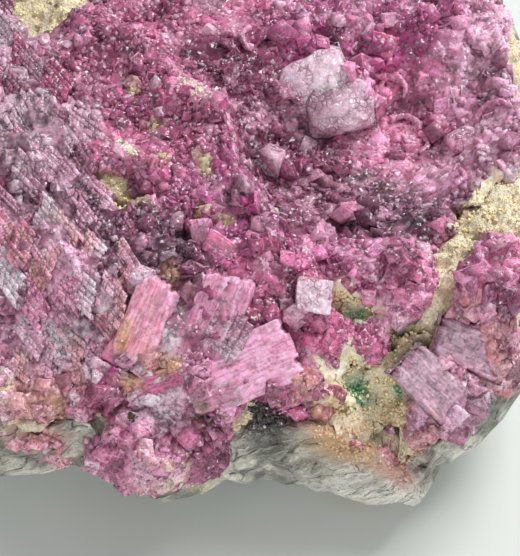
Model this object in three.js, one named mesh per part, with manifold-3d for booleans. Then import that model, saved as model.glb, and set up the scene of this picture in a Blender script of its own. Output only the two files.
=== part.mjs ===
// A cobaltoan dolomite cluster, in millimetres, +Z up, resting on its flat parting plane.
//
// A slab of grey foliated host rock carries a layer of buff iron-stained matrix, and a pink druse of
// dolomite rhombs covers that. The druse has a high western mass, a bowl to the north-east of it, large
// cleaved crystals on its front slope and bare windows where the buff matrix shows. Two smaller druse
// cushions grow apart from the main one. +X runs along the front edge and +Y runs back from it.
// The origin is the centre of the bounding box, on the plane that the cluster rests on.

import * as THREE from "three";
import { mergeVertices } from "three/addons/utils/BufferGeometryUtils.js";
import Module from "manifold-3d";

const wasm = await Module();
wasm.setup();

// ---------------------------------------------------------------- driving dimensions, mm

const HEART = new THREE.Vector2(-4, 13); // the point that every bearing and outline radius starts from
const SEAM_GAP = 0.3; // clearance kept between two neighbouring minerals
const CRUST_THICKNESS = 1.9;
const BUFF_THICKNESS = 2.4;
const BARE_RECESS = 1.2; // how far the druse's own surface dives below the matrix in a bare window
const CRUST_CELL = 2.5; // grid of the druse's surface
const SEAM_CELL = 4; // grid of the buried surface under the druse
const BED_CELL = 5; // grid of the buried surface of the host rock
const COLUMN_SPACING = 4.6; // longest span of the broken sides without a corner
const GRID_JITTER = 0.3; // how far each grid corner wanders, as a share of the cell
const CEILING = 30; // above every surface
const CELLAR = -6; // below every surface

// The lip, where the cluster is widest: plan points taken anticlockwise from the front left corner.
const LIP = [
  [-33, -12.5], [-26, -16.4], [-22.4, -16.9], [-19, -15.8], [-16.3, -16.4], [-13.4, -17.6],
  [-9.5, -19], [-6, -18.6], [-3.5, -17], [-1.5, -17.4], [0.6, -16.7], [6, -17.9],
  [12.1, -18.9], [15.6, -18.7], [17.6, -17], [18, -15.4], [19.6, -14.2], [21.8, -13.9],
  [24, -12.4], [25.3, -10.6], [26.4, -8.6], [28, -6.4], [29.3, -2.4], [30.4, 4], [30.6, 12],
  [31.2, 20], [30.6, 26], [30.2, 31], [28.4, 36.6], [24.4, 40.2], [18.6, 43.4], [10, 44.9],
  [1.4, 44.2], [-8, 45], [-17, 43], [-25.5, 41.2], [-31.6, 37.2], [-35.4, 30.5], [-37.4, 22],
  [-38, 12], [-37, 3.6], [-36.3, -4.6],
];

// How the broken sides lean, by bearing in degrees from +X: the lip's height over the ground, how far the
// foot is set back under it, and how far the side leans in for each millimetre above it.
const SIDES = [
  { bearing: -150, lip: 8.5, undercut: 9, batter: 0.32 },
  { bearing: -118, lip: 7.5, undercut: 9.5, batter: 0.35 },
  { bearing: -98, lip: 7, undercut: 9, batter: 0.34 },
  { bearing: -86, lip: 6, undercut: 7, batter: 0.5 },
  { bearing: -56, lip: 5.5, undercut: 5, batter: 0.46 },
  { bearing: -40, lip: 8.5, undercut: 7.5, batter: 0.3 },
  { bearing: -15, lip: 11, undercut: 9, batter: 0.3 },
  { bearing: 25, lip: 12, undercut: 8, batter: 0.22 },
  { bearing: 65, lip: 10, undercut: 6, batter: 0.24 },
  { bearing: 110, lip: 9, undercut: 5, batter: 0.22 },
  { bearing: 160, lip: 9, undercut: 6, batter: 0.26 },
];

// Flat fractures that cut the broken sides: the bearing each one faces, its distance from the heart at
// FRACTURE_LEVEL and how far it leans in for each millimetre above that.
const FRACTURES = [
  { bearing: 177, distance: 32.2, lean: 0.2 },
  { bearing: 132, distance: 33.4, lean: -0.12 },
  { bearing: 94, distance: 30.4, lean: 0.16 },
  { bearing: 47, distance: 38.6, lean: -0.1 },
  { bearing: 5, distance: 34.8, lean: 0.12 },
];
const FRACTURE_LEVEL = 10;

// Where the druse hangs over the broken side: bearings, how thick it hangs and the height of its hem.
const CURTAINS = [
  { from: -113, to: -88, thickness: 1.5, hem: 6.8 },
  { from: -50, to: -36, thickness: 0.8, hem: 9.5 },
];
const CRUST_SETBACK = 0.5; // how far the druse stops short of the side elsewhere
const BUFF_SETBACK = 0.15; // how far the matrix stops short of it
const RAGGED = 1.5; // how much further either may stop short
const CURTAIN_FADE = 3; // degrees over which a curtain thins out

// Plan outlines where the druse is missing and the buff matrix is bare.
const BUFF_WINDOWS = [
  // the eastern embayment and its neck down to the front pocket
  [
    [34, 13.4], [26.9, 12], [24.3, 12.3], [21.6, 10.1], [19.4, 8], [19.5, 5.8], [18.1, 3.3], [17, 1.2],
    [17.2, -0.4], [16.6, -2.6], [19.6, -3.4], [19.3, -0.6], [20.6, 2.6], [21.9, 4], [24.2, 4.9],
    [25.4, 3.5], [28, 3.8], [34, 5.4],
  ],
  // the pocket on the front slope, with its tail down to the rock
  [
    [12.4, -3.4], [13.9, -2.4], [17, -2], [19.7, -4.2], [22.4, -5.6], [18.7, -7.2], [16.8, -8.3],
    [15.4, -9.7], [15, -11.7], [14.4, -14], [12, -15.6], [7.4, -14.6], [4.2, -13.6], [6.8, -12.2], [8.3, -11],
    [8.7, -9.2], [7.2, -8], [9.9, -7.4], [12.3, -6.8], [12.6, -4.8],
  ],
  [[6.8, -2.4], [9.4, -1.6], [11.9, -2.6], [11.6, -4], [8.6, -3.9]], // the small hollow behind it
  [[-18.2, 10.2], [-16.6, 10.8], [-13.6, 9], [-10.8, 6.6], [-12.4, 5], [-16.2, 6.8]], // on the western mass
  [[-26, 35.4], [-26.4, 31.2], [-22.6, 28.4], [-19.4, 30], [-16.6, 32.4], [-17.4, 36.4], [-22, 38]],
  [[-6, 46], [-8.6, 41.4], [-4.4, 39], [0.6, 39.6], [3, 42.2], [2, 47]],
];

// Plan outlines where the buff matrix is missing too and the host rock is bare.
const ROCK_WINDOWS = [
  // the broken face at the front
  [
    [-1.9, -12.2], [1, -12.3], [3.9, -13.1], [7.9, -14.4], [10.9, -15.2], [13.9, -15.9], [17, -16.2],
    [19.4, -21], [-2.4, -23], [-2, -17],
  ],
  [
    [-30, -15.4], [-21.5, -16.6], [-19.6, -15.4], [-17, -14.1], [-14.6, -14], [-13.1, -15.6],
    [-15, -17], [-17, -22], [-30, -22],
  ],
  [[19.4, -12.4], [21.2, -11], [23.6, -10], [26.4, -9.6], [32, -9], [30, -18], [19, -18]],
  [[-42, -7], [-33.6, -8.6], [-31.4, -3.6], [-33.8, 1.4], [-42, 3]],
  [[10, 50], [7.6, 43.6], [12, 40.6], [18.4, 41], [22, 45], [18, 50]],
];
const WINDOW_EDGE = 0.45; // half the width over which a layer ends at its window, mm
const ROCK_RISE = 0.9; // how far the bare rock lies under the line of the druse's surface

// ---------------------------------------------------------------- numbers

/** A repeatable number from 0 to 1 for three whole numbers. */
function draw(a, b, c) {
  let h = Math.imul(a | 0, 374761393) ^ Math.imul(b | 0, 668265263) ^ Math.imul(c | 0, 2147483647);
  h = Math.imul(h ^ (h >>> 13), 1274126177);
  h = Math.imul(h ^ (h >>> 15), 2246822519);
  return ((h ^ (h >>> 16)) >>> 0) / 4294967296;
}

/** A draw between two limits. */
const drawBetween = (low, high, ...key) => low + (high - low) * draw(...key);

/** A smooth ramp from 0 at low to 1 at high. */
function ramp(low, high, value) {
  const t = THREE.MathUtils.clamp((value - low) / (high - low), 0, 1);
  return t * t * (3 - 2 * t);
}

/** Smooth plan noise from -1 to 1, with lumps about one cell wide. */
function lumps(x, y, cell, seed) {
  const u = x / cell;
  const v = y / cell;
  const i = Math.floor(u);
  const j = Math.floor(v);
  const s = ramp(0, 1, u - i);
  const t = ramp(0, 1, v - j);
  const low = THREE.MathUtils.lerp(draw(i, j, seed), draw(i + 1, j, seed), s);
  const high = THREE.MathUtils.lerp(draw(i, j + 1, seed), draw(i + 1, j + 1, seed), s);
  return 2 * THREE.MathUtils.lerp(low, high, t) - 1;
}

/** Distance from a plan point to an outline, positive inside it. */
function depthInside(outline, x, y) {
  let nearest = Infinity;
  let inside = false;
  outline.forEach(([bx, by], k) => {
    const [ax, ay] = outline[(k + outline.length - 1) % outline.length];
    const length2 = (bx - ax) ** 2 + (by - ay) ** 2;
    const t = THREE.MathUtils.clamp(((x - ax) * (bx - ax) + (y - ay) * (by - ay)) / length2, 0, 1);
    nearest = Math.min(nearest, Math.hypot(x - ax - t * (bx - ax), y - ay - t * (by - ay)));
    if (ay > y !== by > y && x < ((bx - ax) * (y - ay)) / (by - ay) + ax) inside = !inside;
  });
  return inside ? nearest : -nearest;
}

/** 1 at the middle of a turned plan ellipse, 0 on its edge and below 0 outside it. */
function insideEllipse({ x, y, rx, ry, turn }, px, py) {
  const a = THREE.MathUtils.degToRad(turn);
  const u = ((px - x) * Math.cos(a) + (py - y) * Math.sin(a)) / rx;
  const v = (-(px - x) * Math.sin(a) + (py - y) * Math.cos(a)) / ry;
  return 1 - Math.hypot(u, v);
}

// ---------------------------------------------------------------- the relief

// The crest between the western mass and the bowl, from the back to its nose, in plan.
const CREST = [
  [-23, 46], [-19.6, 36], [-17, 30], [-11.6, 26], [-5.7, 19.8], [-2.6, 13.4], [-0.6, 8.6], [1, 5], [3, 1],
];
const WEST_LEVEL = 22.4;
const EAST_LEVEL = 19.6;
const CREST_RISE = 1.3; // how far the crest stands above the mass behind it
const BOWL = { x: 11.5, y: 17.5, rx: 19, ry: 16.5, turn: 18 };
const BOWL_DEPTH = 6;
const BROW = { from: 1, to: -17, drop: 7.2 }; // the front slope, by Y

// Broad swellings and hollows on the surface: plan ellipses with the height they add.
const SWELLINGS = [
  { x: -6, y: -6, rx: 7, ry: 6, turn: 70, rise: 1.6 }, // under the largest cleaved crystals
  { x: -7.5, y: -16, rx: 6.5, ry: 4.5, turn: 0, rise: -2.6 }, // the front curtain's brow
  { x: 23, y: -3.5, rx: 5.5, ry: 5, turn: 40, rise: 2.4 }, // the eastern cushion
  { x: 13, y: -9.5, rx: 6.5, ry: 5.5, turn: 10, rise: -2.2 }, // the buff pocket
  { x: -6.2, y: 2.6, rx: 3.4, ry: 1.8, turn: 35, rise: -3 }, // the dark crease under the nose
  { x: -11, y: 17.2, rx: 2.4, ry: 1.8, turn: 0, rise: -2.6 }, // a pit in the western mass
  { x: -26, y: 14, rx: 9, ry: 8, turn: -40, rise: 1.2 }, // the cleaved western slab
  { x: -22, y: -1, rx: 8, ry: 6, turn: -40, rise: 0.9 },
  { x: 15.4, y: -17.4, rx: 8.5, ry: 6, turn: -8, rise: -3.6 }, // the front face's low right end
  { x: 25, y: -12.4, rx: 8, ry: 6, turn: 20, rise: -4 }, // the lobe at the right
  { x: 3, y: 3.2, rx: 6, ry: 3, turn: 10, rise: 1.2 }, // the bowl's front rim
  { x: 13, y: 1.6, rx: 7, ry: 3, turn: -12, rise: 1.4 },
  { x: 26, y: 16, rx: 5, ry: 7, turn: 10, rise: 1.3 },
];
const LEDGE = { direction: 48, spacing: 5.4, height: 0.9 }; // cleavage steps across the western slab

/** Signed distance to the crest line, positive on the western side of it. */
function westOfCrest(x, y) {
  let nearest = Infinity;
  let side = 1;
  for (let k = 0; k + 1 < CREST.length; k++) {
    const [ax, ay] = CREST[k];
    const [bx, by] = CREST[k + 1];
    const length2 = (bx - ax) ** 2 + (by - ay) ** 2;
    const t = THREE.MathUtils.clamp(((x - ax) * (bx - ax) + (y - ay) * (by - ay)) / length2, 0, 1);
    const distance = Math.hypot(x - ax - t * (bx - ax), y - ay - t * (by - ay));
    if (distance < nearest) {
      nearest = distance;
      side = Math.sign((bx - ax) * (y - ay) - (by - ay) * (x - ax)) || 1;
    }
  }
  return -side * nearest;
}

/** A stair of low cleavage ledges, as a height from 0 to 1 that rises slowly and drops sharply. */
function ledges(x, y) {
  const a = THREE.MathUtils.degToRad(LEDGE.direction);
  const along = (x * Math.cos(a) + y * Math.sin(a)) / LEDGE.spacing + 0.35 * lumps(x, y, 7, 31);
  const phase = along - Math.floor(along);
  return ramp(0, 0.78, phase) * (1 - ramp(0.78, 1, phase));
}

/** The height of the cluster's upper surface, before the druse's windows are opened. */
function surface(x, y) {
  const west = ramp(-1.8, 0.7, westOfCrest(x, y));
  const bowl = ramp(0, 0.72, insideEllipse(BOWL, x, y));
  const eastern = EAST_LEVEL - BOWL_DEPTH * bowl;
  const crest = CREST_RISE * Math.exp(-((westOfCrest(x, y) - 1.6) ** 2) / 5) * ramp(-4, 6, y);
  const slab = ramp(-12, -17, x) * LEDGE.height * ledges(x, y);
  let z = THREE.MathUtils.lerp(eastern, WEST_LEVEL + slab, west) + crest * west;
  z -= BROW.drop * ramp(BROW.from, BROW.to, y);
  for (const swelling of SWELLINGS) z += swelling.rise * ramp(0, 0.8, insideEllipse(swelling, x, y));
  return z + 0.6 * lumps(x, y, 4.6, 11) + 0.35 * lumps(x, y, 2.3, 12);
}

/** 1 inside any of the windows, 0 outside them all, with a ragged edge between. */
function windowed(windows, x, y) {
  const depth = Math.max(...windows.map((outline) => depthInside(outline, x, y)));
  return ramp(-WINDOW_EDGE, WINDOW_EDGE, depth + 0.5 * lumps(x, y, 1.7, 21));
}

/** 1 where the host rock is bare, 0 where it is covered. */
const outcrop = (x, y) => windowed(ROCK_WINDOWS, x, y);

/** 1 where the druse is missing, 0 where it is whole. */
const bareness = (x, y) => Math.max(windowed(BUFF_WINDOWS, x, y), outcrop(x, y));

/** The host rock's upper surface. */
function rockTop(x, y) {
  const buried = surface(x, y) - CRUST_THICKNESS - BUFF_THICKNESS - 0.6 * lumps(x, y, 8, 51);
  const bare = surface(x, y) - ROCK_RISE + 0.5 * lumps(x, y, 2.6, 52);
  return THREE.MathUtils.lerp(buried, bare, outcrop(x, y));
}

/** The matrix's upper surface, which dives under the rock where that is bare. */
function buffTop(x, y) {
  const whole = surface(x, y) - CRUST_THICKNESS + 0.6 * bareness(x, y) * (1 + lumps(x, y, 1.9, 41));
  return THREE.MathUtils.lerp(whole, rockTop(x, y) - BARE_RECESS, outcrop(x, y));
}

/** The druse's upper surface, which dives under the matrix where that is bare. */
function crustTop(x, y) {
  return THREE.MathUtils.lerp(surface(x, y), buffTop(x, y) - BARE_RECESS, bareness(x, y));
}

// ---------------------------------------------------------------- solids

/** A three.js geometry as a manifold solid. */
function solidOf(geometry) {
  const bare = geometry.clone();
  bare.deleteAttribute("normal");
  bare.deleteAttribute("uv");
  const merged = mergeVertices(bare, 1e-4);
  return new wasm.Manifold(
    new wasm.Mesh({
      numProp: 3,
      vertProperties: new Float32Array(merged.attributes.position.array),
      triVerts: new Uint32Array(merged.index.array),
    }),
  );
}

/** A manifold solid as a three.js geometry. */
function geometryOf(solid) {
  const mesh = solid.getMesh();
  const positions = new Float32Array(mesh.numVert * 3);
  for (let i = 0; i < mesh.numVert; i++) {
    positions.set(mesh.vertProperties.subarray(i * mesh.numProp, i * mesh.numProp + 3), i * 3);
  }
  const geometry = new THREE.BufferGeometry();
  geometry.setAttribute("position", new THREE.BufferAttribute(positions, 3));
  geometry.setIndex(new THREE.BufferAttribute(new Uint32Array(mesh.triVerts), 1));
  geometry.computeVertexNormals();
  return geometry;
}

/** A closed solid from shared corners and faces given as rings of corner numbers, wound outwards. */
function closedSolid(corners, faces) {
  const index = [];
  for (const ring of faces) {
    for (let k = 1; k + 1 < ring.length; k++) index.push(ring[0], ring[k], ring[k + 1]);
  }
  const geometry = new THREE.BufferGeometry();
  geometry.setAttribute("position", new THREE.Float32BufferAttribute(corners.flat(), 3));
  geometry.setIndex(index);
  return solidOf(geometry);
}

/** A block whose top follows a height function over the whole plan, on a flat underside. */
function terrain(height, cell) {
  const [west, east, south, north] = [-44, 38, -26, 52];
  const columns = Math.ceil((east - west) / cell);
  const rows = Math.ceil((north - south) / cell);
  const corners = [];
  for (const level of ["top", "bottom"]) {
    for (let j = 0; j <= rows; j++) {
      for (let i = 0; i <= columns; i++) {
        const inner = i > 0 && i < columns && j > 0 && j < rows ? GRID_JITTER * cell : 0;
        const x = west + i * cell + inner * drawBetween(-1, 1, i, j, 81);
        const y = south + j * cell + inner * drawBetween(-1, 1, i, j, 82);
        corners.push([x, y, level === "top" ? height(x, y) : CELLAR]);
      }
    }
  }
  const layer = (columns + 1) * (rows + 1);
  const at = (i, j, lower = 0) => lower * layer + j * (columns + 1) + i;
  const faces = [];
  for (let j = 0; j < rows; j++) {
    for (let i = 0; i < columns; i++) {
      faces.push([at(i, j), at(i + 1, j), at(i + 1, j + 1), at(i, j + 1)]);
      faces.push([at(i, j, 1), at(i, j + 1, 1), at(i + 1, j + 1, 1), at(i + 1, j, 1)]);
    }
  }
  for (let i = 0; i < columns; i++) {
    faces.push([at(i, 0, 1), at(i + 1, 0, 1), at(i + 1, 0), at(i, 0)]);
    faces.push([at(i + 1, rows, 1), at(i, rows, 1), at(i, rows), at(i + 1, rows)]);
  }
  for (let j = 0; j < rows; j++) {
    faces.push([at(0, j + 1, 1), at(0, j, 1), at(0, j), at(0, j + 1)]);
    faces.push([at(columns, j, 1), at(columns, j + 1, 1), at(columns, j + 1), at(columns, j)]);
  }
  return closedSolid(corners, faces);
}

/** The lip as columns, each an angle and a radius about the heart, at its corners and along long spans. */
function lipColumns() {
  return LIP.flatMap(([ax, ay], k) => {
    const [bx, by] = LIP[(k + 1) % LIP.length];
    const steps = Math.ceil(Math.hypot(bx - ax, by - ay) / COLUMN_SPACING);
    return Array.from({ length: steps }, (_, n) => {
      const x = ax + ((bx - ax) * n) / steps - HEART.x;
      const y = ay + ((by - ay) * n) / steps - HEART.y;
      return { angle: Math.atan2(y, x), radius: Math.hypot(x, y) };
    });
  });
}

const COLUMNS = lipColumns();

/** The lean of the side at a bearing in degrees, eased between the listed sectors. */
function sideAt(bearing) {
  const count = SIDES.length;
  for (let k = 0; k < count; k++) {
    const here = SIDES[k];
    const next = SIDES[(k + 1) % count];
    const span = (next.bearing - here.bearing + 360) % 360;
    const into = (bearing - here.bearing + 720) % 360;
    if (into > span) continue;
    const t = ramp(0, span, into);
    return {
      lip: THREE.MathUtils.lerp(here.lip, next.lip, t),
      undercut: THREE.MathUtils.lerp(here.undercut, next.undercut, t),
      batter: THREE.MathUtils.lerp(here.batter, next.batter, t),
    };
  }
  return SIDES[0];
}

const BED_DIP = 0.42; // how far the foliation drops for each millimetre towards +X
const BED_SPACING = 3.1;
const BED_LEDGE = 0.75;
const SIDE_RINGS = [0, 0.35, 0.75, 1]; // rings up to the lip, as shares of its height
const RINGS_ABOVE = 8; // rings from the lip to the ceiling
const BATTER_REACH = 6.4; // height over the lip up to which the side leans in

/** The broken side's set-back at a place on it: ledges where the foliation weathers out, and lumps. */
function brokenFace(x, y, z, bearing) {
  const bed = (z + BED_DIP * x) / BED_SPACING + 0.4 * lumps(x, y, 9, 61);
  const phase = bed - Math.floor(bed);
  const ledge = ramp(0, 0.75, phase) * (1 - ramp(0.75, 1, phase));
  return BED_LEDGE * ledge + 0.7 * lumps(bearing * 0.6, z, 5, 62) + 0.35 * lumps(bearing * 0.6, z, 2.2, 63);
}

/** The radius at which the first flat fracture cuts a bearing at a height. */
function fractureRadius(angle, z) {
  const cuts = FRACTURES.map(({ bearing, distance, lean }) => {
    const facing = Math.cos(angle - THREE.MathUtils.degToRad(bearing));
    return facing > 0.2 ? (distance - lean * (z - FRACTURE_LEVEL)) / facing : Infinity;
  });
  return Math.min(...cuts);
}

/** How far the druse's side stands out from the matrix's at a bearing and a height. */
function curtainAt(bearing, z) {
  let out = -CRUST_SETBACK - 0.5 * RAGGED * (1 + lumps(bearing, 0, 9, 72));
  for (const { from, to, thickness, hem } of CURTAINS) {
    const across = ramp(from - CURTAIN_FADE, from, bearing) * (1 - ramp(to, to + CURTAIN_FADE, bearing));
    const down = ramp(hem - 1, hem + 2, z + 1.2 * lumps(bearing, z, 6, 71));
    out = THREE.MathUtils.lerp(out, thickness, across * down);
  }
  return out;
}

/** A closed drum with the cluster's broken sides, grown outwards by a margin at each bearing and height. */
function sides(margin) {
  const rings = SIDE_RINGS.length + RINGS_ABOVE;
  const corners = COLUMNS.flatMap(({ angle, radius }) => {
    const bearing = THREE.MathUtils.radToDeg(angle);
    const { lip, undercut, batter } = sideAt(bearing);
    const step = (CEILING - lip) / RINGS_ABOVE;
    const upper = Array.from({ length: RINGS_ABOVE }, (_, k) => lip + (k + 1) * step);
    return [...SIDE_RINGS.map((share) => share * lip), ...upper].map((z) => {
      const above = THREE.MathUtils.clamp(z - lip, 0, BATTER_REACH);
      const setback = undercut * Math.max(0, 1 - z / lip) ** 1.4 + batter * above;
      const x = HEART.x + (radius - setback) * Math.cos(angle);
      const y = HEART.y + (radius - setback) * Math.sin(angle);
      const weathered = radius - setback - brokenFace(x, y, z, bearing);
      const reach = Math.min(weathered, fractureRadius(angle, z)) + margin(bearing, z);
      return [HEART.x + reach * Math.cos(angle), HEART.y + reach * Math.sin(angle), z];
    });
  });
  const columns = COLUMNS.length;
  const at = (k, ring) => (k % columns) * rings + ring;
  const foot = corners.push([HEART.x, HEART.y, 0]) - 1;
  const roof = corners.push([HEART.x, HEART.y, CEILING]) - 1;
  const faces = [];
  for (let k = 0; k < columns; k++) {
    for (let ring = 0; ring + 1 < rings; ring++) {
      faces.push([at(k, ring), at(k + 1, ring), at(k + 1, ring + 1), at(k, ring + 1)]);
    }
    faces.push([foot, at(k + 1, 0), at(k, 0)]);
    faces.push([roof, at(k, rings - 1), at(k + 1, rings - 1)]);
  }
  return closedSolid(corners, faces);
}

// ---------------------------------------------------------------- crystals

const DOLOMITE_APEX = THREE.MathUtils.degToRad(63.8); // angle between the c axis and each edge at its apex
const SIX_FACES = [
  [4, 5, 7, 6],
  [0, 2, 3, 1],
  [1, 3, 7, 5],
  [0, 4, 6, 2],
  [2, 6, 7, 3],
  [0, 1, 5, 4],
];

/** A six-faced block about a centre, from three edge vectors. */
function block(centre, edges) {
  const corners = Array.from({ length: 8 }, (_, bits) => {
    const corner = centre.clone();
    edges.forEach((edge, k) => corner.addScaledVector(edge, (bits >> k) & 1 ? 0.5 : -0.5));
    return corner.toArray();
  });
  return closedSolid(corners, SIX_FACES);
}

/** A dolomite rhomb about a centre, with its apex along the c axis. */
function rhomb(centre, cAxis, spin, lengths) {
  const c = cAxis.clone().normalize();
  const p = new THREE.Vector3(0, 0, 1).cross(c);
  if (p.lengthSq() < 1e-6) p.set(1, 0, 0);
  p.normalize();
  const q = c.clone().cross(p);
  const edges = lengths.map((length, k) => {
    const around = spin + (k * 2 * Math.PI) / 3;
    return c
      .clone()
      .multiplyScalar(length * Math.cos(DOLOMITE_APEX))
      .addScaledVector(p, length * Math.sin(DOLOMITE_APEX) * Math.cos(around))
      .addScaledVector(q, length * Math.sin(DOLOMITE_APEX) * Math.sin(around));
  });
  return block(centre, edges);
}

// The large crystals, each a cleaved block. face is the middle of its broad face, looks the way that face
// looks as azimuth from +X and elevation, turn the angle of its long edge across the face, skew the angle
// between its edges, and size its length, width and depth.
const LARGE_CRYSTALS = [
  // the pale pair in the bowl
  { face: [5.9, 25, 17.6], looks: [-100, 56], turn: 58, skew: 96, size: [7.4, 6.4, 5] },
  { face: [10, 24.2, 17], looks: [-84, 56], turn: 14, skew: 84, size: [4.6, 5, 4.2] },
  // the cleaved group on the front slope
  { face: [-6, -7.3, 21.6], looks: [-98, 60], turn: 75, skew: 98, size: [9.4, 5, 3.6] },
  { face: [-1.4, -11.4, 18.6], looks: [-86, 62], turn: 22, skew: 104, size: [9.4, 6, 3.2] },
  { face: [-10.8, -7.6, 21], looks: [-100, 60], turn: 68, skew: 92, size: [7.6, 4, 3.4] },
  { face: [-10.4, -4, 22.2], looks: [-84, 62], turn: -24, skew: 90, size: [2.8, 1.9, 2.6] },
  { face: [-9.7, -12, 17.6], looks: [-92, 52], turn: 16, skew: 84, size: [5.4, 2.6, 3] },
  { face: [-15.6, -10.9, 18.8], looks: [-104, 60], turn: -20, skew: 80, size: [2.2, 1.8, 2] },
  { face: [-13.9, -12.2, 18], looks: [-76, 46], turn: 36, skew: 102, size: [3, 2.6, 2.6] },
  // square rhombs and blocks behind the group
  { face: [5.2, -5.2, 21.6], looks: [-92, 58], turn: -8, skew: 92, size: [3.2, 3.1, 3] },
  { face: [-5.9, 1.9, 21.8], looks: [-110, 54], turn: 118, skew: 84, size: [3.8, 2, 3] },
  { face: [-3.9, 0.2, 21.6], looks: [-84, 58], turn: 140, skew: 98, size: [3.4, 2.4, 2.4] },
  { face: [9.1, 8.2, 17.2], looks: [-90, 60], turn: 4, skew: 88, size: [1.8, 2, 2] },
  { face: [13.2, 29.2, 18.4], looks: [-100, 58], turn: -10, skew: 88, size: [3, 2.4, 2.6] },
  { face: [1.3, 14.7, 16.6], looks: [-84, 56], turn: 38, skew: 94, size: [3.4, 3, 2.6] },
  { face: [-6, 33.6, 18.6], looks: [-76, 58], turn: 26, skew: 98, size: [3.6, 3, 2.6] },
  // the eastern cushion and the slope below it
  { face: [21.2, -3.7, 21.4], looks: [-94, 54], turn: 84, skew: 98, size: [4.4, 3.2, 3] },
  { face: [23.4, 0.8, 21.2], looks: [-74, 58], turn: 50, skew: 100, size: [3.6, 2.8, 2.6] },
  { face: [19, -11.3, 15.6], looks: [-78, 56], turn: -56, skew: 88, size: [6.4, 4, 2.8] },
  { face: [23.2, -7.2, 16.4], looks: [-60, 54], turn: -30, skew: 96, size: [6, 4, 2.6] },
  // the cleaved plates of the western slab
  { face: [-23.9, 9.7, 24.6], looks: [-112, 64], turn: -42, skew: 84, size: [5.6, 3.6, 2.4] },
  { face: [-19.8, -1.3, 24.2], looks: [-108, 62], turn: -48, skew: 82, size: [6, 3.2, 2.4] },
  { face: [-21.6, 14.4, 24.8], looks: [-112, 66], turn: -48, skew: 86, size: [4.4, 3, 2.4] },
  { face: [-28.6, 17.6, 24.4], looks: [-120, 64], turn: -46, skew: 84, size: [5, 3.6, 2.4] },
  { face: [-30.4, 4.6, 23.8], looks: [-120, 62], turn: -52, skew: 82, size: [5.4, 3.4, 2.4] },
  { face: [-16, -4.8, 22.8], looks: [-106, 62], turn: -46, skew: 84, size: [3.8, 2.6, 2.2] },
];

/** The unit vectors of a broad face: its normal, its right and its up, as seen when facing it. */
function faceFrame([azimuth, elevation]) {
  const a = THREE.MathUtils.degToRad(azimuth);
  const e = THREE.MathUtils.degToRad(elevation);
  const normal = new THREE.Vector3(Math.cos(e) * Math.cos(a), Math.cos(e) * Math.sin(a), Math.sin(e));
  const right = new THREE.Vector3(-Math.sin(a), Math.cos(a), 0);
  return { normal, right, up: normal.clone().cross(right) };
}

/** One large crystal as a cleaved block sunk into the druse. */
function largeCrystal({ face, looks, turn, skew, size }) {
  const { normal, right, up } = faceFrame(looks);
  const [length, width, depth] = size;
  const edge = (degrees, reach) => {
    const angle = THREE.MathUtils.degToRad(degrees);
    const across = right.clone().multiplyScalar(reach * Math.cos(angle));
    return across.addScaledVector(up, reach * Math.sin(angle));
  };
  const inwards = normal.clone().multiplyScalar(depth).add(edge(turn, 0.18 * depth));
  const centre = new THREE.Vector3(...face).addScaledVector(inwards, -0.5);
  return block(centre, [edge(turn, length), edge(turn + skew, width), inwards]);
}

// The rhombs that stand out of the druse: a jittered plan grid, with the smallest and largest edge.
const RHOMB_SPACING = 6;
const RHOMB_EDGE = [1.8, 3.2];
const RHOMB_SINK = 0.28; // share of its edge that a rhomb's centre lies under the surface

/** Every standing rhomb, one for each grid place that is on the druse and not in a window. */
function standingRhombs() {
  const made = [];
  for (let j = -4; j <= 8; j++) {
    for (let i = -7; i <= 6; i++) {
      const x = (i + drawBetween(-0.42, 0.42, i, j, 1)) * RHOMB_SPACING;
      const y = (j + drawBetween(-0.42, 0.42, i, j, 2)) * RHOMB_SPACING;
      if (bareness(x, y) > 0.05) continue;
      const edge = drawBetween(...RHOMB_EDGE, i, j, 3);
      const heading = drawBetween(0, 2 * Math.PI, i, j, 4);
      const lean = drawBetween(0.1, 0.85, i, j, 5);
      const cAxis = new THREE.Vector3(Math.cos(heading) * lean, Math.sin(heading) * lean, 1);
      const centre = new THREE.Vector3(x, y, crustTop(x, y) - RHOMB_SINK * edge);
      const lengths = [6, 7, 8].map((key) => edge * drawBetween(0.8, 1.2, i, j, key));
      made.push(rhomb(centre, cAxis, drawBetween(0, 2, i, j, 9), lengths));
    }
  }
  return made;
}

// ---------------------------------------------------------------- the three minerals

const join = (solids) => solids.reduce((a, b) => a.add(b));
const largestFirst = (solid) => solid.decompose().sort((a, b) => b.volume() - a.volume());
const bed = (lift) => terrain((x, y) => rockTop(x, y) + lift, BED_CELL);
const seam = (lift) => terrain((x, y) => buffTop(x, y) + lift, SEAM_CELL);

/** The grey host rock, broken on every side and flat underneath. */
function hostRock() {
  return largestFirst(bed(0).intersect(sides(() => 0)))[0];
}

/** The buff matrix, a layer on the rock's surface. */
function buffMatrix() {
  const rim = (bearing) => -BUFF_SETBACK - 0.4 * RAGGED * (1 + lumps(bearing, 0, 7, 73));
  return largestFirst(seam(0).intersect(sides(rim)).subtract(bed(SEAM_GAP)))[0];
}

/** The druse with its rhombs and large crystals: the main crust, then the cushion east of the windows. */
function druse() {
  const cover = terrain(crustTop, CRUST_CELL).intersect(sides(curtainAt));
  const crystals = join([...standingRhombs(), ...LARGE_CRYSTALS.map(largeCrystal)]);
  const within = crystals.intersect(sides((bearing, z) => curtainAt(bearing, z) + 1));
  const core = seam(SEAM_GAP).add(bed(SEAM_GAP)).intersect(sides(() => SEAM_GAP));
  return largestFirst(cover.add(within).subtract(core)).slice(0, 2);
}

// ---------------------------------------------------------------- the cluster

const FINISHES = {
  rock: { color: 0x8b8c83, roughness: 0.75, metalness: 0 },
  buff: { color: 0xb79c72, roughness: 0.95, metalness: 0 },
  druse: { color: 0xa8467f, roughness: 0.35, metalness: 0 },
};

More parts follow.
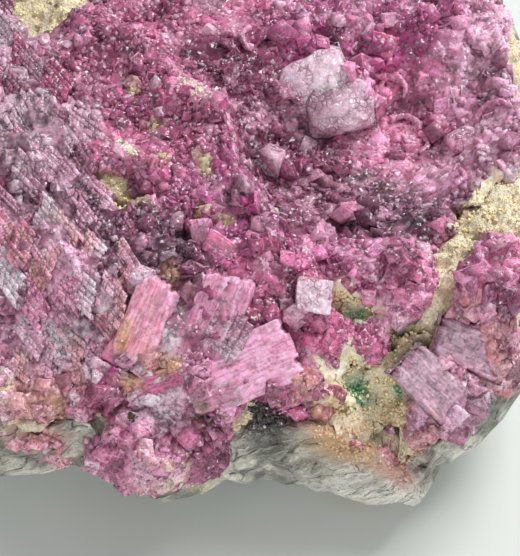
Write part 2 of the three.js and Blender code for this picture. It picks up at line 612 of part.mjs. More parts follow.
/** One named piece of the cluster. */
function piece(name, solid, finish) {
  const mesh = new THREE.Mesh(geometryOf(solid), new THREE.MeshStandardMaterial(FINISHES[finish]));
  mesh.name = name;
  return mesh;
}

const [crust, cushion] = druse();
const cluster = new THREE.Group();
cluster.add(piece("host_rock", hostRock(), "rock"));
cluster.add(piece("buff_matrix", buffMatrix(), "buff"));
cluster.add(piece("druse_crust", crust, "druse"));
cluster.add(piece("druse_east", cushion, "druse"));

const bounds = new THREE.Box3().setFromObject(cluster);
const middle = bounds.getCenter(new THREE.Vector3());
cluster.position.set(-middle.x, -middle.y, -bounds.min.z);

export default cluster;
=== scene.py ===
"""A cobaltoan dolomite cluster: pink druse, buff matrix and grey host rock, dressed for the studio."""

import logging
import math
from collections.abc import Iterator
from contextlib import contextmanager
from dataclasses import dataclass, replace
from enum import Enum

import bpy
import numpy as np
from mathutils import Matrix, Vector
from mathutils.bvhtree import BVHTree

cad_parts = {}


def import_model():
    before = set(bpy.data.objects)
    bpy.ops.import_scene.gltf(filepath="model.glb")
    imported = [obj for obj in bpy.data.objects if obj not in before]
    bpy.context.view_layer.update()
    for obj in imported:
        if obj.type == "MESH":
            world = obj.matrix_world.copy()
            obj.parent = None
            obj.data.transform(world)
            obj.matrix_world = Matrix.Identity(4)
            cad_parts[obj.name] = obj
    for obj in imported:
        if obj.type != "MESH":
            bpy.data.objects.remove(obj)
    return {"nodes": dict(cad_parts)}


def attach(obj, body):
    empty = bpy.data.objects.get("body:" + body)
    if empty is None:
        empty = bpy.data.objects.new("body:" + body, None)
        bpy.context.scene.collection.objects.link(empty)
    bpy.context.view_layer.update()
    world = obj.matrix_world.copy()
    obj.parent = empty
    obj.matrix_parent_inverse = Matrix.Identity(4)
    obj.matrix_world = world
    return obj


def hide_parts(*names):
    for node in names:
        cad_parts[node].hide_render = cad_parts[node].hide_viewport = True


Piece = bpy.types.Object
Socket = bpy.types.NodeSocket
Array = np.ndarray
Chance = np.random.Generator
Material = bpy.types.Material
Pair = tuple[float, float]
Triple = tuple[float, float, float]

LOG = logging.getLogger("cluster")
MM = 0.001  # metres
GRAIN_STRETCH = (0.6, 1.3)  # shortest and longest axis of a grain, as a share of its size
DOUBLES = 2e-6  # corners nearer than this are one corner, metres
PLAN_SHIFT = np.array([3.24, -12.44, 0.0])  # from the plan's own zero to the row frame, mm


# ---- numbers


def linear(red: float, green: float, blue: float) -> Array:
    """The linear colour of a display colour given from 0 to 255."""
    shown = np.array([red, green, blue], float) / 255
    return np.where(shown <= 0.04045, shown / 12.92, ((shown + 0.055) / 1.055) ** 2.4)


def unit(vectors: Array) -> Array:
    """Vectors of length one along the last axis of an array."""
    return vectors / np.maximum(np.linalg.norm(vectors, axis=-1, keepdims=True), 1e-12)


def pointing(azimuth: float, elevation: float) -> Array:
    """The direction at an azimuth from +X and an elevation, in degrees."""
    a, e = math.radians(azimuth), math.radians(elevation)
    return np.array([math.cos(e) * math.cos(a), math.cos(e) * math.sin(a), math.sin(e)])


def hashed(cells: Array, seed: int) -> Array:
    """A repeatable number from 0 to 1 for each row of whole numbers.

    Args:
        cells: Whole numbers, one row for each cell.
        seed: Which set of numbers to give.

    Returns:
        One number for each row.
    """
    mixed = np.full(cells.shape[:-1], seed * 2654435761 % 2**32, np.uint64)
    for column, prime in zip(range(cells.shape[-1]), (73856093, 19349663, 83492791)):
        mixed ^= (cells[..., column].astype(np.int64) * prime).astype(np.uint64) & np.uint64(0xFFFFFFFF)
        mixed = (mixed ^ (mixed >> np.uint64(13))) * np.uint64(1274126177) & np.uint64(0xFFFFFFFF)
        mixed ^= mixed >> np.uint64(16)
    return mixed.astype(float) / 2**32


def drift(points: Array, cell: float, seed: int) -> Array:
    """Smooth noise from -1 to 1 with lumps about one cell wide.

    Args:
        points: Places, one row each.
        cell: Width of a lump, in the same unit.
        seed: Which noise to give.

    Returns:
        One number for each place.
    """
    scaled = points / cell
    low = np.floor(scaled)
    part = scaled - low
    part = part * part * (3 - 2 * part)
    total = np.zeros(points.shape[0])
    for corner in range(2 ** points.shape[1]):
        bits = np.array([(corner >> axis) & 1 for axis in range(points.shape[1])])
        total += np.prod(np.where(bits, part, 1 - part), axis=1) * hashed(low + bits, seed)
    return 2 * total - 1


@dataclass(frozen=True)
class Sway:
    """Smooth noise to vary something with: its most, the width of its lumps in mm, and which noise."""

    most: float
    width: float
    seed: int

    def at(self, points: Array) -> Array:
        """The noise at each place."""
        return self.most * drift(points, self.width, self.seed)

    def moved(self, plan: Array) -> Array:
        """Plan places moved by the noise and the next one."""
        shifts = [drift(plan, self.width, self.seed + axis) for axis in (0, 1)]
        return plan + self.most * np.stack(shifts, axis=1)


# ---- Blender steps


def take(piece: Piece) -> Piece:
    """Makes a piece the only selected one, and active.

    Args:
        piece: The piece.

    Returns:
        The piece.
    """
    bpy.ops.object.select_all(action="DESELECT")
    piece.select_set(True)
    bpy.context.view_layer.objects.active = piece
    return piece


def link(piece: Piece) -> Piece:
    """Puts an object into the scene."""
    bpy.context.scene.collection.objects.link(piece)
    return piece


@contextmanager
def editing(piece: Piece) -> Iterator[None]:
    """Holds a piece in edit mode, selected all over.

    Args:
        piece: The piece.

    Yields:
        Nothing, while the piece is in edit mode.
    """
    take(piece)
    bpy.ops.object.mode_set(mode="EDIT")
    bpy.ops.mesh.select_all(action="SELECT")
    yield
    bpy.ops.object.mode_set(mode="OBJECT")


def apply_modifiers(piece: Piece) -> None:
    """Applies a piece's modifiers in order.

    Args:
        piece: The piece.
    """
    take(piece)
    for modifier in list(piece.modifiers):
        bpy.ops.object.modifier_apply(modifier=modifier.name)


def even_copy(node: Piece, name: str, grain: float) -> Piece:
    """A loose copy of a solid with an even mesh.

    Args:
        node: The solid.
        name: The copy's name.
        grain: Width of its faces, mm.

    Returns:
        The copy, which rides on nothing yet.
    """
    piece = link(bpy.data.objects.new(name, node.data.copy()))
    with editing(piece):
        bpy.ops.mesh.remove_doubles(threshold=DOUBLES)
    if piece.data.has_custom_normals:
        bpy.ops.mesh.customdata_custom_splitnormals_clear()
    layer = piece.modifiers.new("even", "REMESH")
    layer.mode = "VOXEL"
    layer.voxel_size = grain * MM
    layer.use_smooth_shade = True
    apply_modifiers(piece)
    return piece


def places(piece: Piece) -> Array:
    """The places of a piece's corners.

    Args:
        piece: The piece.

    Returns:
        A place in the row frame for each corner, mm.
    """
    flat = np.empty(len(piece.data.vertices) * 3)
    piece.data.vertices.foreach_get("co", flat)
    return flat.reshape(-1, 3) / MM


def move_corners(piece: Piece, points: Array) -> None:
    """Moves a piece's corners to places in the row frame, mm."""
    piece.data.vertices.foreach_set("co", (points * MM).ravel())
    piece.data.update()


def in_plan(points: Array) -> Array:
    """Row-frame points as places in the plan's own millimetres."""
    return (points - PLAN_SHIFT)[:, :2]


def paint(piece: Piece, name: str, values: Array) -> None:
    """Stores a number, a vector or a colour on each corner of a piece.

    Args:
        piece: The piece.
        name: The attribute's name.
        values: One number, three or four for each corner.
    """
    width = 1 if values.ndim == 1 else values.shape[1]
    kind, field = {1: ("FLOAT", "value"), 3: ("FLOAT_VECTOR", "vector"), 4: ("FLOAT_COLOR", "color")}[width]
    if name in piece.data.attributes:
        piece.data.attributes.remove(piece.data.attributes[name])
    attribute = piece.data.attributes.new(name, kind, "POINT")
    attribute.data.foreach_set(field, values.ravel())


def opaque(colours: Array) -> Array:
    """Linear colours with a fourth number of one, for storing."""
    return np.concatenate([np.clip(colours, 0, 1), np.ones((len(colours), 1))], axis=1)


def dress(piece: Piece, material: Material) -> Piece:
    """Gives a piece its finish and its body.

    Args:
        piece: The piece.
        material: Its material.

    Returns:
        The piece.
    """
    piece.data.materials.clear()
    piece.data.materials.append(material)
    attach(piece, "root")
    LOG.info("%s: %d faces", piece.name, len(piece.data.polygons))
    return piece


class Relief(Enum):
    """The kinds of lumps that roughen a surface."""

    CLOUDS = "CLOUDS"
    CELLS = "VORONOI"


@dataclass(frozen=True)
class Roughening:
    """One layer of relief over a piece.

    Attributes:
        relief: The kind of lumps.
        grain: Width of a lump, mm.
        height: Full height of the relief, mm.
        middle: The share of the relief that lies under the old surface.
        stretch: How much longer the lumps are along each axis of their own frame.
        dip: How far that frame is turned about Y, degrees.
    """

    relief: Relief
    grain: float
    height: float
    middle: float = 0.5
    stretch: Triple = (1.0, 1.0, 1.0)
    dip: float = 0.0

    def add_to(self, piece: Piece) -> None:
        """Roughens a piece with this layer.

        Args:
            piece: The piece, whose mesh is changed.
        """
        texture = bpy.data.textures.new(f"{piece.name}_relief", self.relief.value)
        texture.noise_scale = self.grain * MM
        guide = link(bpy.data.objects.new(f"{piece.name}_guide", None))
        guide.scale = self.stretch
        guide.rotation_euler = (0, math.radians(self.dip), 0)
        bpy.context.view_layer.update()
        layer = piece.modifiers.new("relief", "DISPLACE")
        layer.texture = texture
        layer.texture_coords = "OBJECT"
        layer.texture_coords_object = guide
        layer.strength = self.height * MM
        layer.mid_level = self.middle
        apply_modifiers(piece)
        bpy.data.objects.remove(guide)
        bpy.data.textures.remove(texture)


def rough_copy(node: Piece, grain: float, reliefs: tuple[Roughening, ...]) -> Piece:
    """A roughened copy of a solid, to stand for it.

    Args:
        node: The solid.
        grain: Width of the copy's faces, mm.
        reliefs: What roughens it.

    Returns:
        The copy.
    """
    piece = even_copy(node, f"{node.name}_mass", grain)
    for relief in reliefs:
        relief.add_to(piece)
    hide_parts(node.name)
    return piece


# ---- colours over the plan


class Tone(Enum):
    """The colours of the cluster's minerals and stains, as they show in even light."""

    MAGENTA = (182, 84, 138)
    WINE = (122, 42, 84)
    RASPBERRY = (192, 98, 140)
    ROSE = (216, 120, 162)
    PINK = (240, 154, 192)
    MAUVE = (206, 146, 174)
    PLUM = (96, 52, 78)
    SILVER = (210, 178, 194)
    LILAC = (248, 190, 218)
    PALE = (255, 232, 244)
    CREAM = (255, 246, 228)
    SALMON = (224, 160, 158)
    PEACH = (244, 178, 184)
    BRICK = (140, 84, 82)
    OCHRE = (212, 164, 118)
    OLIVE = (220, 206, 156)
    UMBER = (104, 88, 62)
    SAND = (255, 240, 202)
    VERDIGRIS = (116, 172, 132)
    COAL = (70, 66, 68)
    SLATE = (140, 124, 134)
    LEAD = (136, 137, 128)
    ASH = (224, 222, 208)
    CHALK = (250, 246, 234)

    @property
    def light(self) -> Array:
        """The tone as a linear colour."""
        return linear(*self.value)

    @property
    def rgba(self) -> tuple[float, float, float, float]:
        """The tone as a linear node colour."""
        return (*self.light, 1.0)


@dataclass(frozen=True)
class Spot:
    """A turned plan ellipse, in the plan's own millimetres and degrees."""

    FADE = 1.6  # how fast it fades outwards

    x: float
    y: float
    rx: float
    ry: float
    turn: float = 0.0

    def nearness(self, plan: Array) -> Array:
        """How strongly the spot acts at each place, from 1 at its middle towards 0.

        Args:
            plan: Places in plan, one row each.

        Returns:
            One number for each place.
        """
        angle = math.radians(self.turn)
        east = plan[:, 0] - self.x
        north = plan[:, 1] - self.y
        along = (east * math.cos(angle) + north * math.sin(angle)) / self.rx
        across = (north * math.cos(angle) - east * math.sin(angle)) / self.ry
        return np.exp(-self.FADE * (along**2 + across**2))


@dataclass(frozen=True)
class Patch(Spot):
    """A spot that brings a colour."""

    tone: Tone = Tone.SAND


def patches(*rows: tuple) -> tuple[Patch, ...]:
    """Patches from rows of a tone and the fields of its spot."""
    return tuple(Patch(*place, tone=tone) for tone, *place in rows)


DRUSE_PATCHES = patches(
    # the bowl
    (Tone.MAGENTA, 9.8, 32.5, 12, 5),
    # the two wine patches and the plum one: partly the crystals' deeper colour, partly painted shade at the
    # crest's foot and in the bowl's deep
    (Tone.WINE, -2.6, 23.6, 4.4, 7),
    (Tone.WINE, 4, 12, 8, 6),
    (Tone.PLUM, 13, 10.4, 6.4, 4.8),
    (Tone.PINK, 16, 20.6, 6, 6),
    (Tone.LILAC, 20.8, 14.6, 5, 5, -20),
    (Tone.LILAC, 26, 26, 5, 8),
    (Tone.ROSE, -2.2, 34, 7, 4),
    # the crest
    (Tone.RASPBERRY, -8, 18, 7, 4.5, -45),
    (Tone.ROSE, -11.5, 12.8, 6, 4.5),
    (Tone.MAGENTA, -4.5, 8.6, 3.4, 5, 10),
    (Tone.RASPBERRY, -17.6, 22, 6, 5),
    # the cleaved western slab
    (Tone.SILVER, -26, 18, 8, 7),
    (Tone.SILVER, -20.7, 13.9, 4, 4),
    (Tone.SILVER, -23, 6.5, 7, 5),
    (Tone.PLUM, -16.6, 4.4, 4, 3.4),
    (Tone.LILAC, -20.4, -0.4, 6, 4, -45),
    (Tone.PALE, -17, -8, 5, 4, -45),
    (Tone.PLUM, -12.6, -0.4, 4.5, 3),
    (Tone.MAUVE, -25, -7.4, 5, 4),
    # the front edge
    (Tone.PEACH, -22.6, -12.8, 7, 3),
    (Tone.ROSE, -16, -12.4, 4, 2.4),
    (Tone.PINK, -8.9, -17, 6, 3),
    (Tone.PALE, -10, -14.4, 3, 2),
    (Tone.PINK, -4, -14.6, 4, 3),
    # between the blades and the pocket
    (Tone.RASPBERRY, 1.9, -5.2, 4, 4),
    (Tone.ROSE, 3, -9, 4, 3),
    (Tone.PINK, 13.9, -0.6, 6, 3, -10),
    (Tone.MAGENTA, 9.4, 1.6, 5, 2.2),
    (Tone.ROSE, 7.4, -7.4, 4, 2.6),
    # the east
    (Tone.PINK, 22.9, 1, 4, 4),
    (Tone.MAUVE, 25, -3.8, 3, 3),
    (Tone.PEACH, 21.6, -7.7, 5, 3),
    (Tone.LILAC, 18, -12.4, 4, 3),
    (Tone.SLATE, 22, -11.9, 4, 1.5),
    (Tone.BRICK, 17, -14.6, 2.2, 1),
    # where it laps over the rock
    (Tone.SALMON, 12.8, -16.2, 2.4, 1.4, -40),
    (Tone.SALMON, -24, -14.4, 4, 1.4),
    (Tone.PINK, -15.4, -16.2, 2.4, 0.8),
    (Tone.SAND, -7, -19.2, 5, 0.9, -8),
)
LAPPING_SPOTS = (
    Spot(-24, -14.2, 4.6, 1.7, -12),
    Spot(-20.6, -15.4, 2.2, 0.7, -10),
    Spot(-15.4, -16.4, 2.6, 0.7, -12),
    Spot(-11.6, -18, 2.6, 0.9, -20),
    Spot(12.8, -15.6, 2, 1, -40),
    Spot(9.4, -15.4, 0.8, 0.4, -14),
    Spot(13.3, -13.7, 1.4, 1.2),
)
IRON_PATCHES = patches(
    (Tone.OCHRE, -8.3, -2.6, 1.4, 2.6, 20),
    (Tone.OCHRE, -13.2, -8.4, 0.8, 2.2, -20),
    (Tone.OCHRE, -9, -10.6, 1.8, 0.9),
    (Tone.OCHRE, -12.6, -11.9, 1.6, 0.8),
    (Tone.UMBER, -5.9, -14, 2.2, 1, -20),
    (Tone.SALMON, -22, -12.8, 3, 1.2),
    (Tone.OCHRE, -19.6, -13.4, 1.6, 0.9),
    (Tone.OLIVE, -25.4, -12.2, 2, 1),
    (Tone.OLIVE, -14.2, 7.4, 3.8, 1.8, -32),
    (Tone.SLATE, -17.6, 9.6, 1.6, 1.2),
    (Tone.OLIVE, -5.4, 10.4, 1, 2),
    (Tone.SAND, -13.4, 12.8, 2.2, 0.9, -20),
    (Tone.OLIVE, -11, 16.4, 1.2, 1),
    (Tone.OLIVE, -13, 20, 1, 0.8),
    (Tone.SAND, -7.2, 20.4, 2.8, 1.1, -44),
    (Tone.OLIVE, -10, 11.4, 0.9, 0.8),
    (Tone.OLIVE, -5.6, 5.4, 1.2, 0.9),
    (Tone.OLIVE, -3.2, 3.8, 1.3, 0.8),
    (Tone.OCHRE, 6.2, -2.8, 2.6, 0.9, 10),
    (Tone.OCHRE, 8, -13, 5.6, 1.2, -16),
    (Tone.SALMON, 4.6, -11.8, 1.8, 1),
    (Tone.SALMON, 16.4, -14.4, 2.2, 1.6, -30),
)
BARE_SPOTS = (
    Spot(9.4, -2.9, 4, 2, -8),
    Spot(9.6, -10, 5.4, 4.6, -16),
    Spot(10, -13.4, 6.4, 1.8, -16),
    Spot(15.4, -6.4, 4.6, 3.4),
    Spot(19.4, 3, 2.4, 3.4, -30),
    Spot(22.6, 8.4, 6.4, 3, 52),
    Spot(-21.4, 30.6, 5, 2),
)


def nearest_of(spots: tuple[Spot, ...], plan: Array) -> Array:
    """How strongly the strongest of some spots acts at each place."""
    return np.stack([spot.nearness(plan) for spot in spots]).max(0)


def ramp(values: Array, gain: float, start: float, most: float = 1.0) -> Array:
    """Values times a gain less a start, held between 0 and a most."""
    return np.clip(gain * values - start, 0, most)


def share_of(spots: tuple[Spot, ...], plan: Array, gain: float, start: float, most: float = 1.0) -> Array:
    """The share of each place that some spots take.

    Args:
        spots: The spots.
        plan: Places in plan, one row each.
        gain: How sharply the share rises.
        start: How much of the rise is held back.
        most: The largest share.

    Returns:
        A share for each place.
    """
    return ramp(nearest_of(spots, plan), gain, start, most)


def blend_of(patches: tuple[Patch, ...], plan: Array) -> Array:
    """The linear colour that patches blend to at each place.

    Args:
        patches: The patches.
        plan: Places in plan, one row each.

    Returns:
        A linear colour for each place.
    """
    weights = (np.stack([patch.nearness(plan) for patch in patches]) + 1e-9) ** 1.6
    colours = np.array([patch.tone.light for patch in patches])
    return (weights / weights.sum(0)).T @ colours


STAIN_RIMS = Sway(0.5, 0.8, 17)
BARE_RIMS = Sway(0.4, 1.4, 18)
REGION_RIMS = Sway(1.4, 3.0, 3)
VEIN_BENDS = Sway(0.8, 1.8, 33)
BROAD_VEINS = Sway(0.6, 2.6, 31)
FINE_VEINS = Sway(0.5, 1.1, 32)


def stained(tints: Array, plan: Array, strength: float = 1.0) -> Array:
    """Colours after iron has stained them.

    Args:
        tints: Linear colours.
        plan: Where they are in plan.
        strength: The most that a stain covers.

    Returns:
        Linear colours.
    """
    near = nearest_of(IRON_PATCHES, plan)
    share = strength * np.clip(1.7 * near - 0.4 + STAIN_RIMS.at(plan), 0, 1)[:, None]
    return tints * (1 - share) + blend_of(IRON_PATCHES, plan) * share


# pits where the crystals sink deeper, and where the druse is darkened as painted shade
PIT_SPOTS = (
    Spot(-10.3, 14.6, 1.1, 0.8),
    Spot(-7.7, 2, 1.1, 1.3),
    Spot(-13.4, 24.6, 1.2, 0.8, 20),
    Spot(-20.4, 9.6, 1.6, 0.7, -50),
    Spot(2.2, 8.4, 1.6, 0.9),
    Spot(16.2, 7, 1.4, 1.6),
    Spot(10.8, 15.4, 2.2, 0.8),
    Spot(-1, 17, 1, 2),
    Spot(5.6, 21, 1.4, 0.7),
    Spot(-3, 6.4, 0.8, 1.1),
)
COPPER_SPOTS = (
    Spot(9.5, -3.3, 2, 0.9, -6),
    Spot(9.8, -9.9, 2.2, 1.7, -20),
    Spot(13.9, -9.2, 0.6, 1.2),
    Spot(14.4, -7.2, 0.6, 0.7),
)
DARK_SPOTS = patches(
    (Tone.COAL, 1, -12.9, 3.6, 1.5, -14),
    (Tone.UMBER, -5.7, -14.2, 1.8, 0.9, -20),
    (Tone.UMBER, -12.4, -14.8, 1, 1.2),
)
# holes, sunk into the buff and darkened as painted shade
HOLE_SPOTS = (
    Spot(15.8, -5.9, 0.7, 0.5),
    Spot(13, -5.6, 0.8, 0.7),
    Spot(16.1, -7.8, 0.6, 0.6),
    Spot(14.8, -4.6, 3, 0.3, -10),
    Spot(18, -6.4, 2.6, 0.3, -16),
    Spot(14.2, -6.9, 2, 0.25, 30),
    Spot(-13.8, 7, 2.6, 0.3, -30),
    Spot(22, 4.6, 0.6, 0.4),
)
LIPS = (
    Spot(12.4, -14.6, 2.6, 1.2, -10),
    Spot(9, -14.4, 2.4, 1, -14),
)
SEAMS = (Spot(-14.4, 7.4, 3.2, 1.6, -30),)
HEAPS = (
    Spot(-14.2, 7.4, 3, 2, -30),
    Spot(15, -6, 4, 3),
    Spot(8.6, -14, 6.4, 1.8, -16),
    Spot(9.6, -3, 3, 1.6),
    Spot(11.8, -10, 4.6, 4),
    Spot(24, 6, 6, 4),
    Spot(-8, -17.6, 4, 1.2),
)
RUST_STAINS = patches(
    (Tone.OCHRE, 8.6, -15.2, 6, 1.7, -14),
    (Tone.SALMON, 13.4, -16.4, 2.8, 1.6, -30),
    (Tone.SAND, -8, -17.4, 4, 1),
)
ROCK_STAINS = RUST_STAINS + patches(
    (Tone.SAND, 13.2, -13.6, 2.2, 1.6),
    (Tone.BRICK, 15.6, -15.4, 1.6, 1),
    (Tone.SALMON, -22, -15, 4, 1),
    (Tone.COAL, 0.4, -13.6, 3.4, 1.2, -14),
)


def bareness(plan: Array) -> Array:
    """How bare of druse each place is, from 0 to 1."""
    return np.clip(2.6 * nearest_of(BARE_SPOTS, plan) - 0.7 + BARE_RIMS.at(plan), 0, 1)


def earthy(plan: Array) -> Array:
    """The bare ground's colour at each place."""
    return stained(Tone.SAND.light * np.ones((len(plan), 1)), plan, 0.6)


def paint_ground(piece: Piece, plan: Array) -> None:
    """Stores where bare ground is coated green and where it is broken open into holes, which are darkened
    as painted shade.

    Args:
        piece: The piece.
        plan: Its corners in plan.
    """
    paint(piece, "copper", share_of(COPPER_SPOTS, plan, 1.9, 0.3))
    paint(piece, "hole", share_of(HOLE_SPOTS, plan, 1.8, 0.4))


# ---- finishes


class Shader:
    """A node material under construction."""

    def __init__(self, name: str) -> None:
        """Starts a material with a Principled surface.

        Args:
            name: The material's name.
        """
        self.material = bpy.data.materials.new(name)
        self.material.use_nodes = True
        self.tree = self.material.node_tree
        self.surface = self.tree.nodes["Principled BSDF"]

    def node(self, kind: str, inputs: dict[int | str, object], **settings: object) -> bpy.types.Node:
        """Adds a node.

        Args:
            kind: Which node.
            inputs: What its inputs take, each a socket or a plain value.
            settings: Its properties.

        Returns:
            The node.
        """
        made = self.tree.nodes.new(kind)
        for key, value in settings.items():
            setattr(made, key, value)
        for key, value in inputs.items():
            self.feed(made.inputs[key], value)
        return made

    def feed(self, target: Socket, value: object) -> None:
        """Links a socket to an input, or sets the input to a plain value.

        Args:
            target: The input.
            value: The socket or the value.
        """
        if isinstance(value, Socket):
            self.tree.links.new(value, target)
        else:
            target.default_value = value

    def attribute(self, name: str, output: str = "Fac") -> Socket:
        """An attribute of the mesh."""
        return self.node("ShaderNodeAttribute", {}, attribute_name=name).outputs[output]

    def place(self, stretch: Triple = (1, 1, 1), turn: Triple = (0, 0, 0), lay: bool = False) -> Socket:
        """Coordinates, turned and then stretched.

        Args:
            stretch: Scale along each turned axis.
            turn: Rotation about each axis, degrees.
            lay: Whether they are a crystal's own coordinates.

        Returns:
            The vector, in metres.
        """
        if lay:
            where = self.attribute("lay", "Vector")
        else:
            where = self.node("ShaderNodeTexCoord", {}).outputs["Object"]
        inputs = {"Rotation": [math.radians(angle) for angle in turn], "Vector": where}
        turned = self.node("ShaderNodeVectorRotate", inputs, rotation_type="EULER_XYZ")
        return self.vector("MULTIPLY", turned.outputs[0], stretch)

    def vector(self, operation: str, first: object, second: object, output: str = "Vector") -> Socket:
        """One step of vector arithmetic on two inputs."""
        return self.node("ShaderNodeVectorMath", {0: first, 1: second}, operation=operation).outputs[output]

    def maths(self, operation: str, first: object, second: object) -> Socket:
        """One step of arithmetic on two inputs."""
        return self.node("ShaderNodeMath", {0: first, 1: second}, operation=operation).outputs[0]

    def noise(self, where: Socket, grain: float, detail: float, roughness: float) -> Socket:
        """Noise about 0.5, with lumps of a width in mm, so many finer layers, and how strong those are."""
        inputs = {"Scale": 1 / (grain * MM), "Detail": detail, "Roughness": roughness, "Vector": where}
        return self.node("ShaderNodeTexNoise", inputs).outputs["Fac"]

    def cells(self, where: Socket, grain: float, feature: str = "F1") -> bpy.types.Node:
        """A pattern of cells of a width in mm."""
        inputs = {"Scale": 1 / (grain * MM), "Vector": where}
        return self.node("ShaderNodeTexVoronoi", inputs, feature=feature)

    def cracks(self, pattern: Socket, where: Socket, bend: Pair, *grains: float) -> list[Socket]:
        """The distances from bent cracks.

        Args:
            pattern: The coordinates that the cracks follow.
            where: The coordinates that bend them.
            bend: Width and reach of their bends, mm.
            grains: Distance between the cracks of each lot, mm.

        Returns:
            The distance from the nearest crack, for each lot.
        """
        wander = self.node("ShaderNodeTexNoise", {"Scale": 1 / (bend[0] * MM), "Vector": where})
        shift = self.vector("MULTIPLY", wander.outputs["Color"], (bend[1] * MM,) * 3)
        bent = self.vector("ADD", pattern, shift)
        return [self.cells(bent, grain, "DISTANCE_TO_EDGE").outputs["Distance"] for grain in grains]

    def facets(self, where: Socket, grain: float) -> tuple[Socket, Socket]:
        """Small flat facets, each leaning its own way.

        Args:
            where: The coordinates.
            grain: Width of a facet, mm.

        Returns:
            Their relief in metres, and a number of chance for each facet.
        """
        cells = self.cells(where, grain)
        away = self.vector("SUBTRACT", where, cells.outputs["Position"])
        lean = self.vector("SUBTRACT", cells.outputs["Color"], (0.5, 0.5, 0.5))
        split = self.node("ShaderNodeSeparateColor", {0: cells.outputs["Color"]})
        return self.vector("DOT_PRODUCT", away, lean, "Value"), split.outputs[0]

    def remap(
        self, value: Socket, low: float, high: float, to_low: float = 0.0, to_high: float = 1.0
    ) -> Socket:
        """A value moved smoothly from one range to another and held there."""
        span = {"From Min": low, "From Max": high, "To Min": to_low, "To Max": to_high, "Value": value}
        return self.node("ShaderNodeMapRange", span, interpolation_type="SMOOTHSTEP").outputs["Result"]

    def mix(self, share: object, first: object, second: object, way: str = "MIX") -> Socket:
        """Two colours mixed, by the second one's share."""
        inputs = {0: share, 6: first, 7: second}
        return self.node("ShaderNodeMix", inputs, data_type="RGBA", blend_type=way).outputs[2]

    def bump(self, height: Socket, depth: float, after: Socket | None = None) -> Socket:
        """Relief in the shading.

        Args:
            height: Its height at each place.
            depth: How deep a height of one is, mm.
            after: An earlier relief that it lies over.

        Returns:
            The normal.
        """
        inputs = {"Distance": depth * MM, "Height": height}
        if after is not None:
            inputs["Normal"] = after
        return self.node("ShaderNodeBump", inputs).outputs["Normal"]

    def set(self, **values: object) -> None:
        """Sets or links the surface's inputs, with underscores for spaces."""
        for key, value in values.items():
            self.feed(self.surface.inputs[key.replace("_", " ")], value)


